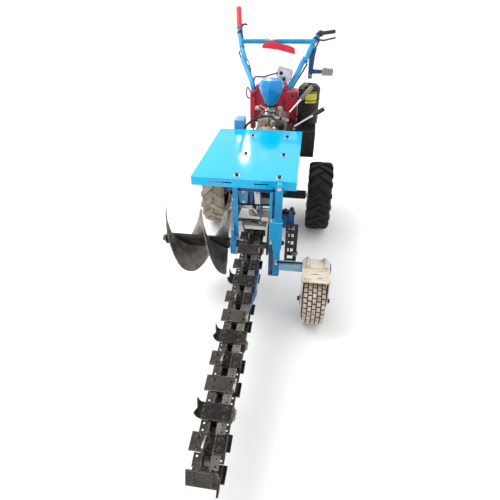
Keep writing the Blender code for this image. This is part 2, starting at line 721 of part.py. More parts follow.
def add_box(shape, size, place, across, turn):
    """Add a box at a place in the boom's side plane, turned with the chain's heading."""
    made = bmesh.ops.create_cube(shape, size=1.0)["verts"]
    bmesh.ops.scale(shape, vec=size, verts=made)
    bmesh.ops.transform(shape, matrix=turn, verts=made)
    centre = turned(SIDE) @ Vector((place.x, place.y, across))
    bmesh.ops.translate(shape, vec=centre, verts=made)


def loose_mesh(name, shape):
    mesh = bpy.data.meshes.new(name)
    shape.to_mesh(mesh)
    shape.free()
    return settle(bpy.data.objects.new(name, mesh), "dark_steel", Matrix.Identity(4), BOOM)


# ---------------------------------------------------------------- engine
def engine():
    block = spans("engine_block", (-0.13, ENGINE_FRONT, 0.30), (0.13, 0.53, 0.60), "cast_metal",
                  edge=0.015)
    cut(block, spans("crankcase", (-0.117, ENGINE_FRONT + 0.013, 0.313), (0.117, 0.56, 0.587),
                     "cast_metal"))
    spans("cylinder_head", (-0.100, 0.300, 0.6003), (0.095, 0.470, 0.6997), "aluminium", edge=0.008)
    neck = [(0.0, 0.073), (0.030, 0.073), (0.030, 0.030), (0.040, 0.026), (0.040, 0.0), (0.0, 0.0)]
    lathe("air_cleaner_neck", neck, (-0.022, 0.375, 0.700), ALONG_Z, "bright_steel", ring=False,
          steps=16)
    cap = [(0.0, 0.163), (0.062, 0.160), (0.088, 0.120), (0.080, 0.075), (0.053, 0.0), (0.0, 0.0)]
    lathe("air_cleaner_cap", cap, (-0.022, 0.375, 0.7735), ALONG_Z, "sky_blue", ring=False, steps=10)


def engine_sheets():
    """Red cowl, the two red uprights that carry the handles, and the black side parts."""
    open_shell("engine_cowl", (-0.142, 0.500, 0.6003), (0.0795, 0.590, 0.868), 0.004, "-z",
               "red_paint", edge=0.006)
    open_shell("upright_left", (-0.184, 0.475, 0.560), (-0.1425, 0.560, 0.830), 0.004, "-z",
               "red_paint", edge=0.006)
    open_shell("upright_right", (0.080, 0.480, 0.6003), (0.160, 0.580, 0.835), 0.004, "-z",
               "red_paint", edge=0.006)
    open_shell("side_guard", (0.1305, 0.240, 0.450), (0.300, 0.4795, 0.635), 0.003, "-z",
               "black_paint", edge=0.004)
    wall, radius, height = 0.003, 0.074, 0.255
    can = [(0.0, height), (radius - 0.02, height), (radius, height - 0.02), (radius, 0.0),
           (radius - wall, 0.0), (radius - wall, height - 0.02), (radius - 0.021, height - wall),
           (0.0, height - wall)]
    lathe("muffler_can", can, (0.236, 0.450, 0.6353), ALONG_Z, "black_paint", ring=False, steps=20)


def controls():
    tilt = Matrix.Rotation(radians(14), 4, "Y")
    control = box("control_box", (0.112, 0.075, 0.062), (0.050, 0.622, 0.925), "grey_plastic",
                  rotation=tilt, edge=0.006)
    join(control, spans("control_stem", (0.020, 0.560, 0.8684), (0.060, 0.620, 0.915), "grey_plastic"))
    cylinder("switch_knob", 0.014, 0.020, (0.028, 0.574, 0.934), ALONG_Y, "black_plastic", sides=14)
    cover = open_shell("rear_cover", (-0.225, 0.051, 0.440), (-0.163, 0.150, 0.749), 0.003, "-z",
                       "sky_blue")
    join(cover, spans("cover_arm", (-0.1645, 0.080, 0.450), (-0.1057, 0.120, 0.480), "sky_blue"))
    route = [Vector(p) for p in ((-0.060, 0.170, 0.5487), (-0.085, 0.160, 0.640),
                                 (-0.085, 0.170, 0.715), (-0.040, 0.185, 0.745),
                                 (0.015, 0.190, 0.742), (0.040, 0.205, 0.700),
                                 (0.032, 0.240, 0.652), (0.030, 0.285, 0.645),
                                 (0.030, 0.2993, 0.645))]
    rod("fuel_hose", smooth_path(route, 3), 0.008, "black_rubber")


def lever(name, pivot, axes, boss_length, bends, grip_length):
    """A bent rod on a pivot boss, with a rubber grip as its own piece."""
    points = [Vector(p) for p in (pivot, *bends)]
    stem = meshed(rod(name, points, 0.006, "bright_steel"))
    join(stem, cylinder(name + "_boss", 0.010, boss_length, pivot, axes, "bright_steel", sides=12))
    start = points[-1]
    way = (start - points[-2]).normalized()
    rod(name + "_grip", [start + way * GAP, start + way * grip_length], 0.015, "black_rubber")


def levers():
    lever("gear_lever", (0.1035, 0.322, 0.680), ALONG_X, 0.016,
          [(0.117, 0.285, 0.748), (0.185, 0.305, 0.827)], 0.105)
    lever("range_lever", (0.152, 0.262, 0.6455), ALONG_Y, 0.020,
          [(0.156, 0.225, 0.672), (0.272, 0.235, 0.745)], 0.082)


# ---------------------------------------------------------------- handlebar
def knuckle(tube, x, toward, side, material):
    """Give a handle tube its half of the hinge: a disc on the hinge line and a lug to the tube."""
    offset = side * (KNUCKLE_WIDTH / 2 + GAP)
    axis = Vector((x + offset, HINGE_Y, HINGE_Z))
    join(tube, cylinder(tube.name + "_disc", KNUCKLE_RADIUS, KNUCKLE_WIDTH, axis, ALONG_X, material,
                        sides=20))
    way = Vector((0, toward.y - HINGE_Y, toward.z - HINGE_Z))
    reach = 0.036
    lug = Matrix.Rotation(atan2(way.z, way.y), 4, "X")
    centre = axis + way.normalized() * reach / 2
    join(tube, box(tube.name + "_lug", (KNUCKLE_WIDTH - 0.001, reach, 0.030), centre, material,
                   rotation=lug))


def hinge_start(x, toward):
    """The tube's end point beside the hinge, clear of the other half's disc."""
    axis = Vector((x, HINGE_Y, HINGE_Z))
    return axis + (Vector(toward) - axis).normalized() * (KNUCKLE_RADIUS + 0.006)


def lower_handles():
    for name, foot, bend, x in (("lower_handle_left", (-0.164, 0.520, 0.8505), (-0.182, 0.560, 0.868),
                                 HINGE_LEFT),
                                ("lower_handle_right", (0.112, 0.530, 0.8555), (0.120, 0.580, 0.872),
                                 HINGE_RIGHT)):
        end = hinge_start(x, bend)
        tube = meshed(rod(name, [foot, bend, end], HANDLE_RADIUS, "sky_blue", resolution=3))
        knuckle(tube, x, end, -1, "sky_blue")


def bar_left_points():
    return [Vector(p) for p in ((-0.317, 0.920, 1.086), (-0.338, 1.000, 1.150), (-0.359, 1.095, 1.298))]


def bar_right_points():
    return [Vector(p) for p in ((0.262, 0.980, 1.120), (0.285, 0.996, 1.136), (0.398, 1.018, 1.152))]


def handlebar():
    for name, points, x in (("handlebar_left", bar_left_points(), HINGE_LEFT),
                            ("handlebar_right", bar_right_points(), HINGE_RIGHT)):
        start = hinge_start(x, points[0])
        tube = meshed(rod(name, [start] + points, BAR_RADIUS, "sky_blue", resolution=3))
        knuckle(tube, x, start, 1, "sky_blue")
    rod("handle_crossbar", [(-0.2920, 0.920, 1.086), (0.2205, 0.930, 1.090)], BAR_RADIUS, "sky_blue")
    grip("grip_left", bar_left_points()[1:], "red_rubber")
    grip("grip_right", bar_right_points()[1:], "black_rubber")
    side_bar = spans("side_bar", (0.216, 0.890, 0.835), (0.250, 0.910, 1.018), "deep_blue", edge=0.003)
    join(side_bar, spans("side_arm", (0.240, 0.892, 0.870), (0.3195, 0.908, 0.904), "deep_blue"))
    spans("side_pedal", (0.3198, 0.872, 0.862), (0.405, 0.928, 0.914), "grey_plastic", edge=0.006)


def grip(name, ends, material):
    """Rubber sleeve round the end of a handle tube."""
    start, end = ends
    way = end - start
    length = way.length - 0.020
    profile = [(0.0205, length), (0.0205, 0.0), (BAR_RADIUS + 0.0008, 0.0), (BAR_RADIUS + 0.0008, length)]
    sleeve = lathe(name, profile, (0, 0, 0), FLAT, material, steps=20)
    turn = way.to_track_quat("Z", "Y").to_matrix().to_4x4()
    sleeve.matrix_local = Matrix.Translation(start + way.normalized() * 0.016) @ turn


def hand_levers():
    outline = [(-0.150, 1.060), (-0.130, 1.084), (-0.080, 1.092), (-0.030, 1.083), (0.060, 1.066),
               (0.100, 1.050), (0.108, 1.008), (0.060, 1.018), (-0.020, 1.036), (-0.090, 1.044),
               (-0.140, 1.046)]
    plate("clutch_lever", outline, 0.022, (0, 0.886, 0), FRONT, "red_rubber")
    rod("brake_lever", [(0.290, 0.990, 1.094), (0.315, 0.996, 1.090), (0.402, 1.012, 1.108)], 0.006,
        "black_plastic")
    rod("throttle_lever", [(-0.3175, 1.030, 1.188), (-0.300, 1.034, 1.190), (-0.284, 1.036, 1.186)],
        0.006, "black_plastic")


# ---------------------------------------------------------------- assembly
def centre_on_floor():
    """Move the root so that the origin is under the middle of the machine's bounding box."""
    bpy.context.view_layer.update()
    graph = bpy.context.evaluated_depsgraph_get()
    places = []
    for obj in PARTS.objects:
        if obj.type == "EMPTY":
            continue
        seen = obj.evaluated_get(graph)
        solid = seen.to_mesh()
        places += [seen.matrix_world @ vertex.co for vertex in solid.vertices]
        seen.to_mesh_clear()
    low_x, high_x = min(p.x for p in places), max(p.x for p in places)
    low_y, high_y = min(p.y for p in places), max(p.y for p in places)
    ROOT.location = (-(low_x + high_x) / 2, -(low_y + high_y) / 2, 0)
    bpy.context.view_layer.update()


clear_scene()
PARTS = collection("chain_trencher")
TOOLS = collection("cutters")
ROOT = empty("machine", (0, 0, 0))
BOOM = empty("boom_frame", (0, SHAFT_Y, SHAFT_Z), (BOOM_SLOPE, 0, 0), ROOT)

main_wheels()
transaxle()
deck()
frame()
left_post()
right_channel()
leg()
adjuster_rack()
wheel_bracket()
depth_wheel()
drive_case()
drive_shafts()
transfer_chain()
auger()
boom_bar()
tip_sprocket()
digging_chain()
engine()
engine_sheets()
controls()
levers()
lower_handles()
handlebar()
hand_levers()
centre_on_floor()
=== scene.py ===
"""Looks of the walk-behind chain trencher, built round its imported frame.

Pieces are laid out in the machine's own frame: x = 0 is the boom's plane, y = 0 the main axle and
z = 0 the ground, with +X towards the depth wheel and -Y towards the boom tip. ORIGIN is where that
frame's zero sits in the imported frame.
"""
from math import asin, atan2, cos, pi, radians, sin

import bmesh
import bpy
from mathutils import Matrix, Vector, noise


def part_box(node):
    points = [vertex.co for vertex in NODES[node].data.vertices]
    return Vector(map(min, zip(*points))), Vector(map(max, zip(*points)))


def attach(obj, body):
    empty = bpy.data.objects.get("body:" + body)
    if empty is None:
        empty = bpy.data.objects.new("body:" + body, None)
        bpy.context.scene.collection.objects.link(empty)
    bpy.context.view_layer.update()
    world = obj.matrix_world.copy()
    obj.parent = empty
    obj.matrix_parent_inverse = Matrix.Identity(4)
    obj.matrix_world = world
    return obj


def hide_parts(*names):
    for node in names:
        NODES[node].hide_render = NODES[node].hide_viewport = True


# The noise module is seeded by the clock; noise_vector gives the same shapes only from a fixed seed.
noise.seed_set(1)

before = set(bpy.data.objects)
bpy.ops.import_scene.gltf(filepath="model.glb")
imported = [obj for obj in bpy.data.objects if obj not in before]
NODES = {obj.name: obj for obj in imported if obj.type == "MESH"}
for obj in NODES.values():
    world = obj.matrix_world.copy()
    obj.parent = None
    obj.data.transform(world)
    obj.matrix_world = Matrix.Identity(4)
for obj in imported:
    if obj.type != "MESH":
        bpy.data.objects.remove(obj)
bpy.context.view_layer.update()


# ---------------------------------------------------------------- places taken from the frame
def middle(node):
    low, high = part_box(node)
    return (Vector(low) + Vector(high)) / 2


AXLE_AHEAD = 0.085                  # the machine frame's zero lies this far ahead of the axle
ORIGIN = middle("axle_shaft") - Vector((0.0, AXLE_AHEAD, middle("tyre_right").z))


def spans(node):
    """A node's lowest and highest corner in the machine's own frame."""
    low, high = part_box(node)
    return Vector(low) - ORIGIN, Vector(high) - ORIGIN


def centre(node):
    return middle(node) - ORIGIN


SHAFT = Vector((0.0, centre("drive_shaft").y, centre("drive_shaft").z))
TIP = Vector((0.0, centre("tip_sprocket").y, centre("tip_sprocket").z))
BOOM_LENGTH = (TIP - SHAFT).length
BOOM_SLOPE = atan2(SHAFT.z - TIP.z, SHAFT.y - TIP.y)
BOOM = Matrix.Translation(SHAFT) @ Matrix.Rotation(BOOM_SLOPE, 4, "X")
DECK_LOW, DECK_HIGH = spans("deck_cover")
LEG_LOW, LEG_HIGH = spans("leg_tube")
RAIL_X = (centre("frame_rail_left").x, centre("frame_rail_right").x)

BAR_HALF_WIDTH = 0.03
BAR_HEIGHT = 0.044
CHAIN_PITCH = 0.052
CHAIN_LINKS = 50
CUTTER_PHASE = 0.45
DRIVE_TEETH = 8
TIP_TEETH = 6


# ---------------------------------------------------------------- procedural materials
class Nodes:
    """Small helper that adds nodes to one material and wires them."""

    def __init__(self, name):
        self.material = bpy.data.materials.new(name)
        self.material.use_nodes = True
        self.tree = self.material.node_tree
        self.shader = self.tree.nodes["Principled BSDF"]
        self.coordinates = self.add("ShaderNodeTexCoord").outputs["Object"]

    def add(self, kind, **settings):
        made = self.tree.nodes.new(kind)
        for key, value in settings.items():
            setattr(made, key, value)
        return made

    def wire(self, start, end):
        self.tree.links.new(start, end)

    def noise(self, scale, detail=5.0, stretch=(1, 1, 1), shift=(0, 0, 0)):
        mapping = self.add("ShaderNodeMapping")
        mapping.inputs["Scale"].default_value = stretch
        mapping.inputs["Location"].default_value = shift
        self.wire(self.coordinates, mapping.inputs["Vector"])
        made = self.add("ShaderNodeTexNoise")
        made.inputs["Scale"].default_value = scale
        made.inputs["Detail"].default_value = detail
        made.inputs["Roughness"].default_value = 0.6
        self.wire(mapping.outputs["Vector"], made.inputs["Vector"])
        return made.outputs["Fac"]

    def spread(self, value, low, high, to_low=0.0, to_high=1.0):
        """Map a value's range onto another range, clamped."""
        made = self.add("ShaderNodeMapRange")
        for key, number in (("From Min", low), ("From Max", high), ("To Min", to_low), ("To Max", to_high)):
            made.inputs[key].default_value = number
        self.wire(value, made.inputs["Value"])
        return made.outputs["Result"]

    def times(self, first, second):
        made = self.add("ShaderNodeMath", operation="MULTIPLY")
        self.wire(first, made.inputs[0])
        self.wire(second, made.inputs[1])
        return made.outputs["Value"]

    def blend(self, mask, first, second):
        """Mix two colours or two numbers; each is a fixed value or another node's output."""
        kind = "RGBA" if self.is_colour(first) and self.is_colour(second) else "FLOAT"
        made = self.add("ShaderNodeMix", data_type=kind)
        sockets = [s for s in made.inputs if s.enabled]
        self.wire(mask, sockets[0])
        for socket, value in zip(sockets[1:], (first, second)):
            if isinstance(value, bpy.types.NodeSocket):
                self.wire(value, socket)
            else:
                socket.default_value = (*value, 1.0) if kind == "RGBA" else value
        return next(s for s in made.outputs if s.enabled)

    @staticmethod
    def is_colour(value):
        if isinstance(value, bpy.types.NodeSocket):
            return value.type == "RGBA"
        return isinstance(value, tuple)

    def edges(self, radius):
        """Mask that is high along convex and concave edges."""
        rounded = self.add("ShaderNodeBevel", samples=4)
        rounded.inputs["Radius"].default_value = radius
        flat = self.add("ShaderNodeNewGeometry").outputs["Normal"]
        made = self.add("ShaderNodeVectorMath", operation="DOT_PRODUCT")
        self.wire(rounded.outputs["Normal"], made.inputs[0])
        self.wire(flat, made.inputs[1])
        return self.spread(made.outputs["Value"], 0.995, 0.86)

    def bump(self, height, strength, distance):
        made = self.add("ShaderNodeBump")
        made.inputs["Strength"].default_value = strength
        made.inputs["Distance"].default_value = distance
        self.wire(height, made.inputs["Height"])
        self.wire(made.outputs["Normal"], self.shader.inputs["Normal"])


DIRT_ROUGHNESS = 0.9
COAT_ROUGHNESS = 0.08


def surface(
        name, colour, shade, rough, metal=0.0, grain=90.0, patch=6.0, bump=0.2, depth=0.0008,
        stretch=(1, 1, 1), worn=None, worn_rough=0.4, worn_metal=0.8, dirt=None, dirt_level=0.62,
        coat=0.0, radius=0.0025, shine=0.5):
    """A finish with patchy colour, fine grain, and optional worn edges and dirt."""
    made = Nodes(name)
    patches = made.spread(made.noise(patch, 6.0, stretch), 0.36, 0.64)
    fine = made.noise(grain, 7.0, stretch, (3.1, 1.7, 0.4))
    base = made.blend(patches, shade, colour)
    roughness = made.spread(fine, 0.3, 0.7, rough[0], rough[1])
    metallic = metal
    if worn is not None:
        broken = made.spread(made.noise(grain * 0.7, 5.0, (1, 1, 1), (9.0, 2.0, 5.0)), 0.38, 0.58)
        mask = made.times(made.edges(radius), broken)
        base = made.blend(mask, base, worn)
        roughness = made.blend(mask, roughness, worn_rough)
        metallic = made.blend(mask, metal, worn_metal)
    if dirt is not None:
        soiled = made.spread(
            made.noise(patch * 2.2, 9.0, (1, 1, 1), (4.0, 7.0, 1.0)), dirt_level - 0.1, dirt_level + 0.08)
        base = made.blend(soiled, base, dirt)
        roughness = made.blend(soiled, roughness, DIRT_ROUGHNESS)
        if metal or worn is not None:
            metallic = made.blend(soiled, metallic, 0.0)
    made.wire(base, made.shader.inputs["Base Color"])
    made.wire(roughness, made.shader.inputs["Roughness"])
    if isinstance(metallic, bpy.types.NodeSocket):
        made.wire(metallic, made.shader.inputs["Metallic"])
    else:
        made.shader.inputs["Metallic"].default_value = metallic
    made.shader.inputs["Specular IOR Level"].default_value = shine
    made.shader.inputs["Coat Weight"].default_value = coat
    made.shader.inputs["Coat Roughness"].default_value = COAT_ROUGHNESS
    made.bump(fine, bump, depth)
    return made.material


DECK_BLUE = surface(
    "deck_blue", (0.0, 0.49, 0.8), (0.0, 0.4, 0.74), (0.06, 0.12), grain=160.0, patch=2.5, bump=0.02,
    worn=(0.35, 0.75, 0.85), worn_metal=0.0, shine=0.35)
SKY_BLUE = surface(
    "sky_blue", (0.0, 0.31, 0.62), (0.0, 0.2, 0.46), (0.18, 0.34), bump=0.1, worn=(0.3, 0.62, 0.74),
    worn_metal=0.1, dirt=(0.03, 0.1, 0.16), dirt_level=0.7, shine=0.4)
# A darker copy of the blue paint, painted shade: the frame, boom bar, channel, deck ribs, gearbox walls and
# other blue parts drawn in it.
SHADED_BLUE = surface(
    "deep_blue", (0.003, 0.075, 0.27), (0.002, 0.045, 0.17), (0.28, 0.48), bump=0.12, coat=0.2,
    worn=(0.15, 0.32, 0.5), worn_metal=0.1, dirt=(0.1, 0.1, 0.1), dirt_level=0.66)
CHALK_BLUE = surface(
    "chalk_blue", (0.26, 0.44, 0.55), (0.12, 0.32, 0.5), (0.35, 0.5), patch=9.0, bump=0.1,
    worn=(0.55, 0.62, 0.66), worn_metal=0.0, shine=0.3)
PALE_BLUE = surface(
    "pale_blue", (0.1, 0.36, 0.62), (0.07, 0.28, 0.54), (0.3, 0.45), bump=0.1, coat=0.2,
    worn=(0.5, 0.62, 0.7), worn_metal=0.0)
CAP_BLUE = surface(
    "cap_blue", (0.0, 0.3, 0.66), (0.0, 0.19, 0.5), (0.12, 0.24), bump=0.05, worn=(0.3, 0.7, 0.85),
    worn_metal=0.0, shine=0.5)
RED_PAINT = surface(
    "red_paint", (0.62, 0.012, 0.04), (0.45, 0.006, 0.026), (0.22, 0.42), bump=0.1, coat=0.4,
    worn=(0.75, 0.25, 0.25), worn_metal=0.1, dirt=(0.1, 0.02, 0.02), dirt_level=0.66)
CREAM_PAINT = surface(
    "cream_paint", (0.8, 0.74, 0.62), (0.66, 0.58, 0.46), (0.35, 0.6), bump=0.2, worn=(0.3, 0.2, 0.12),
    worn_metal=0.2, dirt=(0.36, 0.24, 0.14), dirt_level=0.6)
BLACK_PAINT = surface(
    "black_paint", (0.01, 0.01, 0.011), (0.006, 0.006, 0.007), (0.3, 0.55), bump=0.15,
    worn=(0.18, 0.17, 0.16), dirt=(0.05, 0.043, 0.036), dirt_level=0.68, shine=0.3)
WORN_STEEL = surface(
    "worn_steel", (0.22, 0.2, 0.18), (0.1, 0.09, 0.085), (0.28, 0.6), metal=0.75, grain=70.0,
    patch=9.0, bump=0.35, worn=(0.7, 0.66, 0.6), worn_metal=1.0, worn_rough=0.3,
    dirt=(0.16, 0.11, 0.075), dirt_level=0.6)
PLATE_STEEL = surface(
    "plate_steel", (0.06, 0.051, 0.043), (0.026, 0.023, 0.02), (0.32, 0.6), metal=0.45, grain=120.0,
    patch=14.0, bump=0.3, worn=(0.55, 0.5, 0.44), worn_metal=0.9, worn_rough=0.35,
    dirt=(0.1, 0.07, 0.048), dirt_level=0.64, shine=0.25)
DARK_STEEL = surface(
    "dark_steel", (0.018, 0.017, 0.016), (0.008, 0.008, 0.008), (0.22, 0.5), metal=0.6, grain=130.0,
    patch=14.0, bump=0.25, worn=(0.45, 0.42, 0.38), worn_metal=1.0, worn_rough=0.3,
    dirt=(0.06, 0.048, 0.038), dirt_level=0.66, shine=0.25)
BRIGHT_EDGE = surface(
    "ground_edge", (0.62, 0.56, 0.48), (0.34, 0.3, 0.25), (0.25, 0.45), metal=0.7, grain=120.0,
    patch=45.0, bump=0.3, dirt=(0.1, 0.07, 0.05), dirt_level=0.66)
# A darker copy of the plate steel: painted shade on the cutters' swept blades and the plate ends they rise
# from; the one 'worn' corner tooth is also drawn in it.
SHADED_PLATE = surface(
    "shaded_plate", (0.024, 0.021, 0.019), (0.01, 0.009, 0.008), (0.32, 0.6), metal=0.45, grain=120.0,
    patch=16.0, bump=0.3, worn=(0.42, 0.37, 0.31), worn_metal=0.9, dirt=(0.06, 0.046, 0.034),
    dirt_level=0.66, shine=0.2)
BRACKET_STEEL = surface(
    "bracket_steel", (0.17, 0.15, 0.13), (0.055, 0.048, 0.042), (0.3, 0.55), metal=0.5, grain=120.0,
    patch=16.0, bump=0.25, worn=(0.7, 0.66, 0.6), dirt=(0.12, 0.09, 0.06), dirt_level=0.66)
BRIGHT_STEEL = surface(
    "bright_steel", (0.74, 0.74, 0.73), (0.56, 0.56, 0.55), (0.16, 0.34), metal=1.0, grain=110.0,
    bump=0.12, stretch=(1, 1, 6), dirt=(0.3, 0.26, 0.22), dirt_level=0.72)
SHEET_STEEL = surface(
    "sheet_steel", (0.17, 0.145, 0.12), (0.09, 0.075, 0.062), (0.45, 0.7), metal=0.3, bump=0.3,
    worn=(0.5, 0.44, 0.36), dirt=(0.22, 0.16, 0.11), dirt_level=0.58)
CAST_METAL = surface(
    "cast_metal", (0.3, 0.25, 0.2), (0.18, 0.145, 0.115), (0.5, 0.75), metal=0.25, grain=150.0, bump=0.5,
    worn=(0.5, 0.46, 0.4), dirt=(0.06, 0.05, 0.04), dirt_level=0.56)
ALUMINIUM = surface(
    "aluminium", (0.56, 0.55, 0.53), (0.38, 0.37, 0.35), (0.32, 0.55), metal=0.8, grain=170.0, bump=0.3,
    dirt=(0.08, 0.065, 0.05), dirt_level=0.6)
TYRE_BLACK = surface(
    "tyre_black", (0.01, 0.01, 0.012), (0.005, 0.005, 0.006), (0.55, 0.8), grain=200.0, bump=0.35,
    worn=(0.03, 0.03, 0.032), worn_metal=0.0, worn_rough=0.75, dirt=(0.045, 0.04, 0.036), dirt_level=0.66,
    radius=0.006, shine=0.3)
TYRE_MUD = surface(
    "tyre_mud", (0.43, 0.36, 0.29), (0.25, 0.2, 0.155), (0.8, 0.98), grain=120.0, patch=10.0, bump=0.9,
    depth=0.003, dirt=(0.05, 0.04, 0.035), dirt_level=0.66)
TREAD_DUST = surface(
    "tread_dust", (0.62, 0.54, 0.46), (0.4, 0.33, 0.27), (0.7, 0.95), grain=170.0, patch=18.0, bump=0.6,
    depth=0.0015, dirt=(0.09, 0.07, 0.055), dirt_level=0.64)
TREAD_DARK = surface(
    "tread_dark", (0.035, 0.028, 0.023), (0.016, 0.014, 0.013), (0.7, 0.9), grain=170.0, bump=0.5,
    dirt=(0.16, 0.12, 0.09), dirt_level=0.62)
BLACK_RUBBER = surface(
    "black_rubber", (0.018, 0.018, 0.018), (0.01, 0.01, 0.01), (0.5, 0.7), grain=220.0, bump=0.25,
    dirt=(0.07, 0.06, 0.055), dirt_level=0.68)
GREY_RUBBER = surface(
    "grey_rubber", (0.26, 0.24, 0.21), (0.17, 0.155, 0.135), (0.55, 0.75), grain=180.0, bump=0.35,
    dirt=(0.1, 0.08, 0.06), dirt_level=0.62)
RED_RUBBER = surface(
    "red_rubber", (0.78, 0.02, 0.05), (0.62, 0.012, 0.036), (0.3, 0.5), grain=180.0, bump=0.2,
    worn=(0.85, 0.25, 0.25), worn_metal=0.0, coat=0.15)
BLACK_PLASTIC = surface(
    "black_plastic", (0.014, 0.014, 0.015), (0.009, 0.009, 0.01), (0.35, 0.5), grain=240.0, bump=0.15,
    worn=(0.08, 0.08, 0.08), worn_metal=0.0)
GREY_PLASTIC = surface(
    "grey_plastic", (0.44, 0.44, 0.43), (0.34, 0.34, 0.33), (0.38, 0.55), grain=220.0, bump=0.2,
    dirt=(0.2, 0.18, 0.15), dirt_level=0.68)
WHITE_PAINT = surface(
    "white_paint", (0.8, 0.82, 0.84), (0.66, 0.7, 0.74), (0.2, 0.35), bump=0.1, coat=0.2,
    dirt=(0.3, 0.3, 0.28), dirt_level=0.72)
LABEL_YELLOW = surface(
    "label_yellow", (0.62, 0.56, 0.03), (0.46, 0.42, 0.03), (0.3, 0.5),
    grain=120.0, patch=40.0, bump=0.05)
TAN_SHEET = surface(
    "tan_sheet", (0.42, 0.37, 0.3), (0.17, 0.15, 0.12), (0.35, 0.6), metal=0.35, patch=12.0, bump=0.3,
    worn=(0.7, 0.64, 0.55), dirt=(0.07, 0.055, 0.04))
TAN_CAST = surface(
    "tan_cast", (0.55, 0.43, 0.3), (0.36, 0.27, 0.18), (0.45, 0.7), metal=0.1, grain=150.0, bump=0.4,
    worn=(0.7, 0.62, 0.5), worn_metal=0.2, dirt=(0.07, 0.055, 0.04), dirt_level=0.6)


# ---------------------------------------------------------------- shapes
X, Y, Z = Vector((1, 0, 0)), Vector((0, 1, 0)), Vector((0, 0, 1))


def axes(across, along, place=(0, 0, 0)):
    """Matrix whose X and Y point along two directions, at a place."""
    first = Vector(across).normalized()
    third = first.cross(Vector(along)).normalized()
    made = Matrix((first, third.cross(first), third)).transposed().to_4x4()
    return Matrix.Translation(Vector(place)) @ made


def facing(direction, place=(0, 0, 0)):
    """Matrix whose Z points along a direction, at a place."""
    way = Vector(direction).normalized()
    hint = X if abs(way.z) > 0.95 else Z
    return axes(hint.cross(way), way.cross(hint.cross(way)), place)


def upright(place):
    """Matrix on the vertical line through a place, its heights measured from the ground."""
    return Matrix.Translation((place.x, place.y, 0))


def circle(radius, steps, matrix):
    angles = [2 * pi * i / steps for i in range(steps)]
    return [matrix @ Vector((radius * cos(a), radius * sin(a), 0)) for a in angles]


def smooth_path(points, samples=6):
    """Catmull-Rom points through a list of route points."""
    points = [Vector(p) for p in points]
    ends = [points[0] * 2 - points[1]] + points + [points[-1] * 2 - points[-2]]
    path = []
    for a, b, c, d in zip(ends, ends[1:], ends[2:], ends[3:]):
        for i in range(samples):
            t = i / samples
            path.append(
                0.5 * (2 * b + (c - a) * t + (2 * a - 5 * b + 4 * c - d) * t * t
                    + (3 * b - a - 3 * c + d) * t * t * t))
    return path + [points[-1]]


